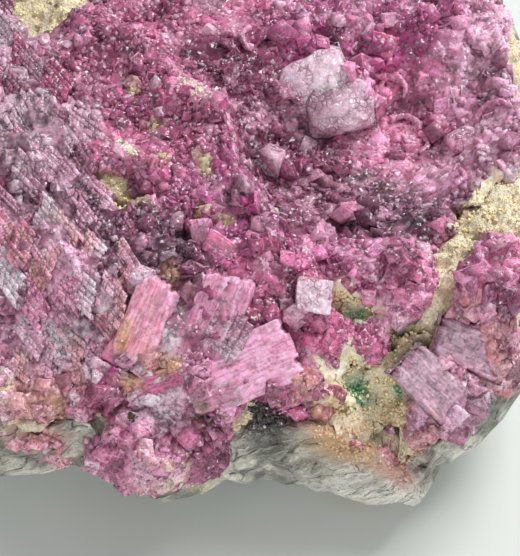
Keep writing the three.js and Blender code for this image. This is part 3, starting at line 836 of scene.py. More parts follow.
@dataclass(frozen=True)
class DolomiteFinish:
    """Translucent dolomite whose colour comes from the crystals themselves.

    Attributes:
        name: The material's name.
        facet: Width of the small facets that a face is broken into, mm.
        lean: How strongly the facets lean.
        contrast: How much lighter or darker one facet is than another.
        rim: How much paler a crystal's edges are, partly its zoning and partly painted light: the highlight
            and glow that its thin edges catch.
        seam: How much darker a crystal's edges are.
        lines: How dark the cracks between the facets are.
        striae: How strongly a face is striated along its crystal.
        roughness: Roughness of a face.
        glow: Share of light that spreads under the surface.
        glints: Share of the smaller facets painted pale as glints, a painted highlight, and minus a
            hundredth for none at all.
        earth: Whether bare earthy ground shows where the mesh says so.
    """

    name: str
    facet: float = 0.55
    lean: float = 0.7
    contrast: float = 0.32
    rim: float = 0.45
    seam: float = 0.0
    lines: float = 0.0
    striae: float = 0.0
    roughness: float = 0.32
    glow: float = 0.4
    glints: float = 0.0
    earth: bool = False

    SMALLER = 0.42  # width of the smaller facets, as a share of the larger
    RELIEF = (1000.0, 600.0)  # how strongly the larger and the smaller facets lean
    ROUGH_SPAN = (0.45, 1.7)  # smoothest and roughest facets, as a share of the roughness
    REFRACTION = 1.68
    GLOW_REACH = 0.001  # metres
    GLOW_RADIUS = (1.0, 0.4, 0.65)  # how far red, green and blue light spread

    def build(self) -> Material:
        """Makes the material.

        Returns:
            The material.
        """
        shader = Shader(self.name)
        where = shader.place()
        relief, chance = shader.facets(where, self.facet)
        small_relief, small_chance = shader.facets(where, self.facet * self.SMALLER)
        colour = self._colour(shader, where, chance, small_chance)
        normal = shader.bump(relief, self.RELIEF[0] * self.lean)
        normal = shader.bump(small_relief, self.RELIEF[1] * self.lean, normal)
        if self.lines:
            colour, normal = self._cracked(shader, where, colour, normal)
        if self.striae:
            colour, normal = self._striated(shader, colour, normal)
        smooth, coarse = (self.roughness * share for share in self.ROUGH_SPAN)
        rough = shader.remap(small_chance, 0.0, 1.0, smooth, coarse)
        if self.earth:
            bare = shader.attribute("bare")
            colour = shader.mix(bare, colour, BuffFinish().colour(shader, where))
            rough = shader.maths("MAXIMUM", rough, shader.maths("MULTIPLY", bare, 0.9))
        shader.set(Base_Color=colour, Roughness=rough, IOR=self.REFRACTION, Normal=normal)
        shader.set(Subsurface_Weight=self.glow, Subsurface_Scale=self.GLOW_REACH)
        shader.set(Subsurface_Radius=self.GLOW_RADIUS)
        return shader.material

    def _colour(self, shader: Shader, where: Socket, chance: Socket, small_chance: Socket) -> Socket:
        """The tint with its clouds, facets, rims, flecks and painted glints; the paler rims are partly
        painted light at the edges.

        Args:
            shader: The material.
            where: The coordinates.
            chance: A number of chance for each facet.
            small_chance: A number of chance for each smaller facet.

        Returns:
            The colour.
        """
        tint = shader.attribute("tint", "Color")
        pale = shader.mix(0.45, tint, Tone.LILAC.rgba)
        clouds = shader.remap(shader.noise(where, 2.0, 4, 0.65), 0.36, 0.64)
        colour = shader.mix(clouds, shader.mix(0.4, tint, tint, "MULTIPLY"), tint)
        for number in (chance, small_chance):
            shade = shader.remap(number, 0, 1, 1 - self.contrast, 1 + self.contrast)
            colour = shader.mix(1.0, colour, shade, "MULTIPLY")
        # paler edges: partly zoning, partly painted highlight and glow at the edges
        colour = shader.mix(shader.maths("MULTIPLY", shader.attribute("rim"), self.rim), colour, pale)
        seam = shader.maths("MULTIPLY", shader.remap(shader.attribute("rim"), 0.15, 0.6), self.seam)
        colour = shader.mix(seam, colour, shader.mix(1.0, tint, Tone.PLUM.rgba, "MULTIPLY"))
        veils = shader.noise(shader.place((1, 1, 2.6), (20, 35, 0)), 0.5, 3, 0.6)
        colour = shader.mix(shader.remap(veils, 0.52, 0.75, 0, 0.55), colour, pale)
        flecks = shader.remap(shader.noise(where, 0.28, 2, 0.6), 0.62, 0.72, 0, 0.7 - 2.5 * self.striae)
        colour = shader.mix(flecks, colour, shader.mix(0.8, tint, Tone.WINE.rgba, "MULTIPLY"))
        # painted highlight: a few of the smaller facets are painted pale as glints
        painted_glint = shader.remap(small_chance, 0.99 - self.glints, 1.0 - self.glints, 0, 0.8)
        return shader.mix(painted_glint, colour, Tone.PALE.rgba)

    def _cracked(
        self, shader: Shader, where: Socket, colour: Socket, normal: Socket
    ) -> tuple[Socket, Socket]:
        """Fine cracks between the cleavage blocks.

        Args:
            shader: The material.
            where: The coordinates.
            colour: The colour so far.
            normal: The relief so far.

        Returns:
            The colour and the relief with the cracks.
        """
        edge, fine = shader.cracks(where, where, (1.5, 0.3), 1.7 * self.facet, 0.8 * self.facet)
        broken = shader.remap(shader.noise(where, 1.8, 2, 0.5), 0.4, 0.6)
        wide = shader.remap(edge, 0.0, 0.14, 1, 0)
        crack = shader.maths("MAXIMUM", wide, shader.remap(fine, 0.0, 0.2, 0.55, 0))
        share = shader.maths("MULTIPLY", shader.maths("MULTIPLY", crack, broken), self.lines)
        dark = shader.mix(0.85, colour, Tone.WINE.rgba, "MULTIPLY")
        open_height = shader.maths("SUBTRACT", 1.0, share)
        return shader.mix(share, colour, dark), shader.bump(open_height, 0.08, normal)

    def _striated(self, shader: Shader, colour: Socket, normal: Socket) -> tuple[Socket, Socket]:
        """Lines along the crystal.

        Args:
            shader: The material.
            colour: The colour so far.
            normal: The relief so far.

        Returns:
            The colour and the relief with the lines.
        """
        along = shader.place((0.14, 1.0, 0.5), lay=True)
        wide = shader.noise(along, 0.5, 3, 0.6)
        fine = shader.noise(along, 0.24, 3, 0.7)
        shade = shader.remap(shader.maths("ADD", wide, fine), 0.8, 1.2, 1 - self.striae, 1 + self.striae)
        normal = shader.bump(wide, 0.16, normal)
        return shader.mix(1.0, colour, shade, "MULTIPLY"), shader.bump(fine, 0.08, normal)


@dataclass(frozen=True)
class RockFinish:
    """Grey foliated host rock, paler below, stained where it meets the matrix."""

    name: str = "host_rock"
    dip: float = 24.0  # of the foliation, degrees

    def build(self) -> Material:
        """Makes the material.

        Returns:
            The material.
        """
        shader = Shader(self.name)
        where = shader.place()
        dark, middle, pale = Tone.LEAD.rgba, Tone.ASH.rgba, Tone.CHALK.rgba
        blocks = shader.place((0.4, 1, 1.6), (0, self.dip, 0))
        relief, chance = shader.facets(blocks, 1.5)
        small_relief, small_chance = shader.facets(shader.place((0.5, 1, 1.8), (0, self.dip, 0)), 0.6)
        folia = shader.noise(shader.place((0.16, 1, 2.4), (0, self.dip, 0)), 0.7, 5, 0.7)
        lustre = shader.noise(where, 0.25, 2, 0.6)
        colour = shader.mix(shader.remap(shader.noise(where, 4.5, 4, 0.6), 0.38, 0.6), dark, middle)
        for number, contrast in ((chance, 0.2), (small_chance, 0.14)):
            shade = shader.remap(number, 0, 1, 1 - contrast, 1 + contrast)
            colour = shader.mix(1.0, colour, shade, "MULTIPLY")
        colour = shader.mix(shader.remap(folia, 0.52, 0.7, 0, 0.6), colour, pale)
        colour = shader.mix(shader.remap(folia, 0.44, 0.34, 0, 0.5), colour, dark)
        (edge,) = shader.cracks(blocks, where, (2.0, 1.0), 2.6)
        line = shader.remap(edge, 0.0, 0.06, 1, 0)
        crack = shader.maths("MULTIPLY", line, shader.remap(shader.noise(where, 2.4, 2, 0.5), 0.46, 0.6))
        colour = shader.mix(shader.maths("MULTIPLY", crack, 0.5), colour, Tone.COAL.rgba)
        paler_spots = shader.attribute("pale")
        paler_spots = shader.maths("MULTIPLY", paler_spots, shader.remap(small_chance, 0, 1, 0.5, 1))
        colour = shader.mix(paler_spots, colour, pale)
        rust = shader.attribute("stain")
        rust = shader.maths("MULTIPLY", rust, shader.remap(lustre, 0.4, 0.55, 0.5, 1))
        colour = shader.mix(rust, colour, shader.attribute("tint", "Color"))
        specks = shader.remap(shader.noise(where, 0.22, 1, 0.5), 0.64, 0.72, 0, 0.6)
        colour = shader.mix(specks, colour, Tone.COAL.rgba)
        normal = shader.bump(relief, 700)
        normal = shader.bump(small_relief, 400, normal)
        normal = shader.bump(folia, 0.25, normal)
        normal = shader.bump(lustre, 0.12, normal)
        normal = shader.bump(shader.maths("SUBTRACT", 1.0, crack), 0.2, normal)
        shader.set(Base_Color=colour, Roughness=shader.remap(lustre, 0.35, 0.7, 0.3, 0.65), Normal=normal)
        return shader.material


@dataclass(frozen=True)
class BuffFinish:
    """Earthy buff matrix with iron stain, pits and holes darkened as painted shade, and green copper
    coating.
    """

    name: str = "buff_matrix"
    roughness: float = 0.92
    specular: float = 0.3

    def build(self) -> Material:
        """Makes the material.

        Returns:
            The material.
        """
        shader = Shader(self.name)
        where = shader.place()
        normal = shader.bump(shader.noise(where, 0.7, 5, 0.75), 0.5)
        normal = shader.bump(shader.noise(where, 0.25, 2, 0.6), 0.24, normal)
        shader.set(Base_Color=self.colour(shader, where), Normal=normal)
        shader.set(Roughness=self.roughness, Specular_IOR_Level=self.specular)
        return shader.material

    def colour(self, shader: Shader, where: Socket) -> Socket:
        """The earthy colour, for any material that shows it.

        Args:
            shader: The material.
            where: The coordinates.

        Returns:
            The colour.
        """
        fine = shader.noise(where, 0.3, 3, 0.6)
        grainy = shader.remap(shader.noise(where, 0.6, 4, 0.75), 0.4, 0.6)
        tint = shader.attribute("tint", "Color")
        pale = shader.mix(0.7, tint, Tone.CREAM.rgba)
        colour = shader.mix(shader.remap(shader.noise(where, 2.8, 4, 0.6), 0.35, 0.65), tint, pale)
        colour = shader.mix(shader.maths("MULTIPLY", grainy, 0.06), colour, Tone.OLIVE.rgba)
        rust = shader.remap(shader.noise(where, 1.3, 4, 0.65), 0.56, 0.72, 0, 0.25)
        colour = shader.mix(rust, colour, Tone.OCHRE.rgba)
        colour = shader.mix(1.0, colour, shader.remap(fine, 0.3, 0.7, 0.86, 1.22), "MULTIPLY")
        # painted shade: scattered pits are darkened towards umber
        painted_pit_shadows = shader.remap(shader.cells(where, 0.8).outputs["Distance"], 0.05, 0.2, 0.34, 0.0)
        sparse = shader.remap(shader.noise(where, 1.7, 2, 0.5), 0.52, 0.6)
        colour = shader.mix(shader.maths("MULTIPLY", painted_pit_shadows, sparse), colour, Tone.UMBER.rgba)
        colour = shader.mix(shader.remap(fine, 0.34, 0.42, 0.14, 0.0), colour, Tone.UMBER.rgba)
        (edge,) = shader.cracks(where, where, (1.0, 1.0), 2.2)
        crack = shader.maths("MULTIPLY", shader.remap(edge, 0.0, 0.05, 0.9, 0), sparse)
        colour = shader.mix(crack, colour, Tone.UMBER.rgba)
        # painted shade: the holes are darkened towards coal
        colour = shader.mix(shader.attribute("hole"), colour, Tone.COAL.rgba, "MULTIPLY")
        coat = shader.maths("MULTIPLY", shader.attribute("copper"), shader.remap(fine, 0.4, 0.52))
        return shader.mix(coat, colour, Tone.VERDIGRIS.rgba)


@dataclass(frozen=True)
class GrainFinish:
    """Small loose grains, coloured one by one."""

    name: str
    roughness: float
    specular: float = 0.5

    def build(self) -> Material:
        """Makes the material.

        Returns:
            The material.
        """
        shader = Shader(self.name)
        tint = shader.attribute("tint", "Color")
        mottle = shader.noise(shader.place(), 0.14, 2, 0.6)
        dark = shader.mix(0.7, tint, tint, "MULTIPLY")
        colour = shader.mix(shader.remap(mottle, 0.35, 0.65), dark, tint)
        shader.set(Base_Color=colour, Roughness=self.roughness)
        shader.set(Normal=shader.bump(mottle, 0.06), Specular_IOR_Level=self.specular)
        return shader.material


# ---- small solids that repeat


class Habit(Enum):
    """The small solids that grow by the hundred."""

    RHOMB = "rhomb"
    HOLLOW = "hollow"
    UNEVEN = "uneven"
    SMALL = "small"
    BRICK = "brick"
    TILE = "tile"


@dataclass
class Copies:
    """Where the copies of a small solid go, and their colours.

    Attributes:
        frames: A 3 by 3 matrix for each copy, whose columns are its axes, mm.
        centres: Each copy's centre in the row frame, mm.
        tints: Each copy's linear colour.
        rims: How strongly each copy's paler edges show, partly painted edge light.
        lays: Each copy's own place in its crystal, mm, where it is part of one.
    """

    frames: Array
    centres: Array
    tints: Array
    rims: Array
    lays: Array | None = None

    @classmethod
    def merged(cls, parts: list["Copies"]) -> "Copies":
        """Several lots of copies as one."""
        keys = ("frames", "centres", "tints", "rims", "lays")
        return cls(*(np.concatenate([getattr(part, key) for part in parts]) for key in keys))


@dataclass
class Seedling:
    """One small solid as arrays: its corners at unit size, its faces, and 1 on the corners of its edges."""

    corners: Array
    faces: list[tuple[int, ...]]
    rim: Array

    def joined(self, name: str, copies: Copies) -> Piece:
        """One mesh of many copies of the solid.

        Args:
            name: The mesh's name.
            copies: Where they go.

        Returns:
            The piece.
        """
        count, own = len(copies.centres), len(self.corners)
        corners = np.einsum("nij,vj->nvi", copies.frames, self.corners) + copies.centres[:, None, :]
        ring = np.concatenate([np.array(face) for face in self.faces])
        loops = (ring[None, :] + own * np.arange(count)[:, None]).ravel()
        sizes = np.tile([len(face) for face in self.faces], count)
        mesh = bpy.data.meshes.new(name)
        mesh.vertices.add(count * own)
        mesh.vertices.foreach_set("co", (corners * MM).ravel())
        mesh.loops.add(len(loops))
        mesh.loops.foreach_set("vertex_index", loops.astype(np.int32))
        mesh.polygons.add(len(sizes))
        starts = np.concatenate([[0], np.cumsum(sizes)[:-1]])
        mesh.polygons.foreach_set("loop_start", starts.astype(np.int32))
        mesh.update(calc_edges=True)
        piece = link(bpy.data.objects.new(name, mesh))
        paint(piece, "tint", np.repeat(opaque(copies.tints), own, axis=0))
        paint(piece, "rim", (copies.rims[:, None] * self.rim[None, :]).ravel())
        if copies.lays is not None:
            reach = np.linalg.norm(copies.frames, axis=1)
            lays = copies.lays[:, None, :] + reach[:, None, :] * self.corners[None, :, :]
            paint(piece, "lay", lays.reshape(-1, 3) * MM)
        return piece


class Seedlings:
    """Models each habit once."""

    APEX = 63.8  # angle between a dolomite rhomb's threefold axis and its edges
    CUBE_APEX = math.degrees(math.acos(1 / math.sqrt(3)))
    CUBE_CORNERS = 8
    RIM_CORNERS = {Habit.TILE: 0, Habit.UNEVEN: 20}  # how many corners lie on edges, where not a cube's
    INSETS = {Habit.RHOMB: (0.09, 0.035), Habit.BRICK: (0.09, 0.035), Habit.HOLLOW: (0.13, -0.1)}
    CRUMPLE = 0.05  # how far the corners of an uneven one wander
    LOOKS_UP = 0.12  # least upward part of the normal of an upper face

    def __init__(self) -> None:
        """Models all the habits."""
        self.made = {habit: self._model(habit) for habit in Habit}

    def _model(self, habit: Habit) -> Seedling:
        """Models one habit from a primitive and takes its arrays.

        Args:
            habit: Which one.

        Returns:
            The solid.
        """
        bpy.ops.object.select_all(action="DESELECT")
        bpy.ops.mesh.primitive_cube_add(size=1)
        solid = bpy.context.object
        if habit is Habit.UNEVEN:
            self._crumple(solid)
        if habit not in (Habit.BRICK, Habit.TILE):
            self._stand_on_apex(solid)
        if habit in self.INSETS:
            self._inset_above(solid, *self.INSETS[habit])
        corners = np.array([vertex.co for vertex in solid.data.vertices])
        rim = np.where(np.arange(len(corners)) < self.RIM_CORNERS.get(habit, self.CUBE_CORNERS), 1.0, 0.0)
        # a small one has no inset, so its paler edges, partly painted edge light, lie at its upper corners
        if habit is Habit.SMALL:
            rim = np.clip(corners[:, 2], 0, None)
        seedling = Seedling(corners, [tuple(face.vertices) for face in solid.data.polygons], rim)
        bpy.data.objects.remove(solid)
        return seedling

    def _crumple(self, solid: Piece) -> None:
        """Splits a cube's faces in four and moves the corners a little.

        Args:
            solid: The cube.
        """
        with editing(solid):
            bpy.ops.mesh.subdivide(number_cuts=1)
            bpy.ops.transform.vertex_random(offset=self.CRUMPLE, uniform=1.0, seed=3)

    def _stand_on_apex(self, solid: Piece) -> None:
        """Stands a cube on a corner and presses it to dolomite's angle.

        Args:
            solid: The cube.
        """
        cube, rhomb = math.radians(self.CUBE_APEX), math.radians(self.APEX)
        solid.data.transform(Matrix.Rotation(-cube, 4, "Y") @ Matrix.Rotation(-math.pi / 4, 4, "Z"))
        wide, tall = math.sin(rhomb) / math.sin(cube), math.cos(rhomb) / math.cos(cube)
        with editing(solid):
            bpy.ops.transform.resize(value=(wide, wide, tall), center_override=(0, 0, 0))

    def _inset_above(self, solid: Piece, width: float, height: float) -> None:
        """Insets the faces that look up and moves the inner faces.

        Args:
            solid: The solid.
            width: Width of the rim that is left.
            height: How far the inner faces move out.
        """
        take(solid)
        bpy.ops.object.mode_set(mode="EDIT")
        bpy.ops.mesh.select_mode(type="FACE")
        bpy.ops.mesh.select_all(action="DESELECT")
        bpy.ops.object.mode_set(mode="OBJECT")
        for face in solid.data.polygons:
            face.select = face.normal.z > self.LOOKS_UP
        bpy.ops.object.mode_set(mode="EDIT")
        bpy.ops.mesh.inset(thickness=width, depth=height, use_individual=True)
        bpy.ops.object.mode_set(mode="OBJECT")


def framed(side: Array, axis: Array, scale: Array) -> Array:
    """Frames from two crossed unit axes, the third square to both, and a scale along each."""
    columns = (side * scale[:, :1], np.cross(axis, side) * scale[:, 1:2], axis * scale[:, 2:])
    return np.stack(columns, axis=2)


def tumbled(rng: Chance, sizes: Array) -> Array:
    """Frames turned every way, for grains of some sizes.

    Args:
        rng: The source of chance.
        sizes: The grains' sizes, mm.

    Returns:
        A frame for each grain.
    """
    axis = unit(rng.normal(size=(len(sizes), 3)))
    side = unit(np.cross(axis, rng.normal(size=(len(sizes), 3))))
    return framed(side, axis, sizes[:, None] * rng.uniform(*GRAIN_STRETCH, (len(sizes), 3)))


class Ground:
    """The outer faces of solids, as somewhere to grow."""

    PRESSED = 1.2  # nearer than this to what lies under it, a face is an inner one, mm
    CLEAR = 0.02  # how far above a face the search starts, mm
    HIGH = 60.0  # a height above everything, mm

    def __init__(self, nodes: list[Piece], against: list[Piece]) -> None:
        """Reads the solids.

        Args:
            nodes: The solids to grow on.
            against: The solids that lie against their inner faces.
        """
        self.corners = self._triangles(nodes)
        crossed = np.cross(self.corners[:, 1] - self.corners[:, 0], self.corners[:, 2] - self.corners[:, 0])
        self.normals = unit(crossed)
        self.areas = np.linalg.norm(crossed, axis=1)
        self.top = self._tree(self.corners)
        self.against = self._tree(self._triangles(against))

    def _triangles(self, nodes: list[Piece]) -> Array:
        """The corners of solids' triangles.

        Args:
            nodes: The solids.

        Returns:
            Three corners for each triangle, mm.
        """
        stacks = []
        for node in nodes:
            node.data.calc_loop_triangles()
            stacks.append(places(node)[np.array([part.vertices for part in node.data.loop_triangles])])
        return np.concatenate(stacks)

    def _tree(self, corners: Array) -> BVHTree:
        """Triangles as a search tree."""
        faces = np.arange(3 * len(corners)).reshape(-1, 3)
        return BVHTree.FromPolygons(corners.reshape(-1, 3).tolist(), faces.tolist())

    def throw(self, rng: Chance, count: int) -> tuple[Array, Array]:
        """Points thrown evenly over the outer faces.

        Args:
            rng: The source of chance.
            count: How many to throw.

        Returns:
            The points that landed on outer faces, and the normals there.
        """
        chosen = rng.choice(len(self.areas), count, p=self.areas / self.areas.sum())
        a, b = rng.random((2, count))
        flip = a + b > 1
        a[flip], b[flip] = 1 - a[flip], 1 - b[flip]
        first, second, third = (self.corners[chosen, k] for k in range(3))
        points = first + a[:, None] * (second - first) + b[:, None] * (third - first)
        normals = self.normals[chosen]
        outer = [self._is_outer(Vector(point), Vector(normal)) for point, normal in zip(points, normals)]
        return points[outer], normals[outer]

    def _is_outer(self, point: Vector, normal: Vector) -> bool:
        """Whether a point isn't pressed against what lies under the solids."""
        return self.against.ray_cast(point + self.CLEAR * normal, normal, self.PRESSED)[0] is None

    def drop(self, plan: Array) -> tuple[Array, Array, Array]:
        """Points dropped onto the solids from above.

        Args:
            plan: Places in plan, one row each.

        Returns:
            The numbers of those that landed, their points and the normals there.
        """
        landed, points, normals = [], [], []
        for k, place in enumerate(plan + PLAN_SHIFT[:2]):
            point, normal, _, _ = self.top.ray_cast(Vector((*place, self.HIGH)), Vector((0, 0, -1)))
            if point is not None:
                landed.append(k)
                points.append(point)
                normals.append(normal)
        return np.array(landed), np.array(points), np.array(normals)


def spread(points: Array, gaps: Array) -> Array:
    """Keeps points that stay clear of those already kept.

    Args:
        points: Points in order of preference.
        gaps: The least distance that each keeps.

    Returns:
        The numbers of the kept points.
    """
    grid: dict[tuple[int, int, int], list[int]] = {}
    around = [(x, y, z) for x in (-1, 0, 1) for y in (-1, 0, 1) for z in (-1, 0, 1)]
    kept = []
    spots, widths = points.tolist(), (0.5 * gaps).tolist()
    for k, (x, y, z) in enumerate(np.floor(points / gaps.max()).astype(int).tolist()):
        here, width = spots[k], widths[k]
        near = (other for dx, dy, dz in around for other in grid.get((x + dx, y + dy, z + dz), ()))
        if any(math.dist(spots[other], here) < width + widths[other] for other in near):
            continue
        grid.setdefault((x, y, z), []).append(k)
        kept.append(k)
    return np.array(kept, int)


# ---- large cleaved crystals


@dataclass(frozen=True)
class Breakage:
    """How a cleaved crystal's face is broken.

    Attributes:
        splits: How often the crystal or each of its blocks is split for its relief.
        wear: Height of its relief, mm.
        margin: How far the small crystals stay off its face, mm.
        steps: Width and height of the steps that run along it, mm.
        finish: Its finish.
    """

    splits: int
    wear: float
    margin: float
    steps: Pair
    finish: DolomiteFinish


BLADE = DolomiteFinish(
    "blade_dolomite", facet=0.7, lean=0.45, contrast=0.2, rim=0.45, striae=0.2, glow=0.45
)
PLATE = DolomiteFinish(
    "plate_dolomite", facet=0.42, lean=0.6, contrast=0.3, rim=0.1, seam=0.75, lines=0.6,
    roughness=0.22, glow=0.25, glints=0.08,
)
PALE_BLOCK = DolomiteFinish(
    "pale_dolomite", facet=0.5, lean=0.6, contrast=0.12, rim=0.3, lines=0.75, roughness=0.28
)
SMOOTH_BLOCK = DolomiteFinish(
    "block_dolomite", facet=0.8, lean=0.4, contrast=0.16, rim=0.5, striae=0.1, roughness=0.24, glow=0.5
)


class Texture(Enum):
    """The ways in which the large crystals are broken."""

    STRIATED = Breakage(splits=5, wear=0.2, margin=-0.1, steps=(0.5, 0.18), finish=BLADE)
    MOSAIC = Breakage(splits=1, wear=0.05, margin=-0.2, steps=(0.0, 0.0), finish=PLATE)
    CRAZED = Breakage(splits=5, wear=0.3, margin=0.1, steps=(2.2, 0.2), finish=PALE_BLOCK)
    SMOOTH = Breakage(splits=4, wear=0.24, margin=-0.4, steps=(1.5, 0.2), finish=SMOOTH_BLOCK)


@dataclass(frozen=True)
class CleavedFace:
    """A cleaved crystal's broad face and what it is broken into.

    Attributes:
        face: The middle of the face in the plan's own millimetres.
        looks: The way it looks, azimuth from +X and elevation, degrees.
        turn: Angle of its long edge across the face, degrees.
        skew: Angle between its edges, degrees.
        size: Length, width and depth, mm.
        texture: How the face is broken up.
        tones: Its colours at the start and the end of its length.
        dome: How far the face's corners fall below its middle, mm.
        rounded: Whether its corners have broken away.
        fade: How strongly it dives under the small crystals at the start of its length.
    """

    TERRACE = 4  # length of a terrace in a lane, as a share of the lane's width
    TERRACE_HEIGHT = 0.6  # how far terraces differ in height, as a share of the lanes' height
    FALL = 2.6  # how fast the face falls where it is broken away, mm
    BREAK = (0.75, 1.2)  # how near the outline it begins to fall, and how much further it goes on
    CARVED = 0.5  # share of the depth that the carving reaches
    STREAK = 0.24  # how much deeper in colour one lane or terrace is than another
    RAGGED_ENDS = 0.16  # how uneven the lanes' ends are, as a share of the length
    LANE_BENDS = Sway(0.3, 2.5, 62)  # mm
    TONE_BENDS = Sway(0.3, 1.8, 65)  # as a share of the length
    END_BENDS = Sway(0.12, 3.2, 67)  # as a share of the length
    SIDE_BENDS = Sway(0.16, 2.4, 68)  # as a share of the width
    NOTCHES = Sway(0.3, 1.3, 61)  # as a share of the way to the outline
    SQUARE = 9  # the power that gives its outline square corners
    ROUND = 3.0  # the power that gives it round ones
    ABOVE = 3  # how far above the face points still lie on the crystal, mm
    BELOW = 0.4  # how far below its foot they still do, mm
    BRICK = (0.85, 0.62)  # length and width of a small block, mm
    OUTLINE = 2.4  # the power that rounds off a face of small blocks
    LIFT = 0.05  # how unevenly the small blocks stand, mm
    LEAN = 0.06  # how unevenly they lean
    RAGGED = 0.07  # how uneven the rows' ends are, as a share of the length
    VARY = 0.09  # how much lighter or darker one small block is than another
    PROUD = 0.08  # how far the small blocks stand out of the crystal, mm
    ROOTED = 0.6  # how deep they go, as a share of its depth
    OVERLAP = 1.02  # how much wider they are than their places

    face: Triple
    looks: Pair
    turn: float
    skew: float
    size: Triple
    texture: Texture
    tones: tuple[Tone, Tone]
    dome: float = 0.0
    rounded: bool = False
    fade: float = 0.0

    def axes(self) -> tuple[Array, Array, Array]:
        """The face's own axes.

        Returns:
            Its long edge, its short edge and its normal, as unit vectors.
        """
        normal = pointing(*self.looks)
        right = pointing(self.looks[0] + 90, 0)
        up = np.cross(normal, right)
        angles = (math.radians(self.turn), math.radians(self.turn + self.skew))
        long, short = (right * math.cos(angle) + up * math.sin(angle) for angle in angles)
        return long, short, normal

    def centre(self) -> Array:
        """The middle of the face in the row frame, mm."""
        return np.array(self.face) + PLAN_SHIFT

    def covers(self, points: Array) -> Array:
        """Which points lie on the crystal.

        Args:
            points: The points in the row frame, mm.

        Returns:
            Whether each one does.
        """
        along, across, out = self._own(points)
        length, width, depth = self.size
        margin = self.texture.value.margin
        inside = (np.abs(along) < length / 2 + margin) & (np.abs(across) < width / 2 + margin)
        inside &= along > (0.2 * min(self.fade, 1) - 0.5) * length - margin
        return inside & (out < self.ABOVE) & (out > -depth - self.BELOW)

    def carve(self, piece: Piece) -> None:
        """Steps a piece that stands for the whole crystal, breaks its edges and colours it.

        Args:
            piece: The piece, a finely split block.
        """
        points = places(piece)
        along, across, out = self._own(points)
        width, height = self.texture.value.steps
        lane = np.floor((across + self.LANE_BENDS.at(points)) / width)[:, None]
        terrace = np.floor(along / (self.TERRACE * width) + 3 * hashed(lane, 69))[:, None]
        cell = np.concatenate([lane, terrace], axis=1)
        broken = self._broken(points, along, across, lane)
        stepped = height * (hashed(lane, 64) + self.TERRACE_HEIGHT * hashed(cell, 70))
        start, most = self.BREAK
        sunk = self.FALL * np.clip(broken - start, 0, most) + self.dome * broken / 2 + stepped
        points -= (sunk * (out > -self.CARVED * self.size[2]))[:, None] * self.axes()[2]
        move_corners(piece, points)
        first, last = (tone.light for tone in self.tones)
        turn = np.clip(along / self.size[0] + 0.5 + self.TONE_BENDS.at(points), 0, 1)[:, None]
        deep = 0.9 + self.STREAK * hashed(lane, 66) + self.STREAK * hashed(cell, 71)
        tints = (first * (1 - turn) + last * turn) ** deep[:, None]
        paint(piece, "tint", opaque(stained(tints, in_plan(points), 0.8)))
        # paler where it breaks away at the outline, partly painted edge light
        paint(piece, "rim", ramp(broken, 2, 0.9))

    def _own(self, points: Array) -> Array:
        """Row-frame points as places along, across and out of the face, mm."""
        return np.linalg.inv(np.stack(self.axes(), axis=1)) @ (points - self.centre()).T

    def _broken(self, points: Array, along: Array, across: Array, lane: Array) -> Array:
        """How far the face is broken away at each point, from 0 at its middle to 1 at its ragged outline.

        Args:
            points: The points in the row frame, mm.
            along: Their places along the face, mm.
            across: Their places across the face, mm.
            lane: The number of each one's lane.

        Returns:
            A share for each point.
        """
        uneven = self.END_BENDS.at(points) + self.RAGGED_ENDS * (hashed(lane, 63) - 0.5)
        ends = 2 * along / self.size[0] * (1 + uneven)
        sides = 2 * across / self.size[1] * (1 + self.SIDE_BENDS.at(points))
        power = self.ROUND if self.rounded else self.SQUARE
        share = np.abs(ends) ** power + np.abs(sides) ** power
        return share + (self.NOTCHES.at(points) + self.fade * np.clip(-1.6 * ends - 0.6, 0, 1))

    def whole(self) -> Copies:
        """The crystal as one block.

        Returns:
            The block, as a single copy.
        """
        long, short, normal = self.axes()
        length, width, depth = self.size
        frame = np.stack([long * length, short * width, normal * depth], axis=1)
        tint = self.tones[0].light
        centre = self.centre() - 0.5 * depth * normal
        return Copies(frame[None], centre[None], tint[None], np.ones(1), np.zeros((1, 3)))

    def blocks(self, rng: Chance) -> Copies:
        """The small blocks that the crystal is broken into.

        Args:
            rng: The source of chance.

        Returns:
            Their places and colours.
        """
        length, width, _ = self.size
        tones = [tone.light for tone in self.tones]
        lanes = self._cuts(rng, width, self.BRICK[1])
        frames, centres, tints, lays = [], [], [], []
        for low, high in zip(lanes[:-1], lanes[1:]):
            cuts = self._cuts(rng, length, self.BRICK[0])
            cuts[0] += rng.uniform(-1, 1) * self.RAGGED * length
            cuts[-1] += rng.uniform(-1, 1) * self.RAGGED * length
            lane_lift = rng.normal(0, self.LIFT)
            for start, end in zip(cuts[:-1], cuts[1:]):
                middle = np.array([(start + end) / 2, (low + high) / 2])
                reach = np.sum(np.abs(2 * middle / self.size[:2]) ** self.OUTLINE)
                if self.rounded and reach > rng.uniform(0.85, 1.2):
                    continue
                frame, centre = self._block(rng, middle, (end - start, high - low), lane_lift)
                frames.append(frame)
                centres.append(centre)
                share = np.clip(middle[0] / length + 0.5 + rng.normal(0, 0.12), 0, 1)
                tints.append((tones[0] * (1 - share) + tones[1] * share) * rng.normal(1.0, self.VARY))
                lays.append((*middle, 0.0))
        rims = rng.uniform(0.2, 1.0, len(frames))
        return Copies(np.array(frames), np.array(centres), np.array(tints), rims, np.array(lays))

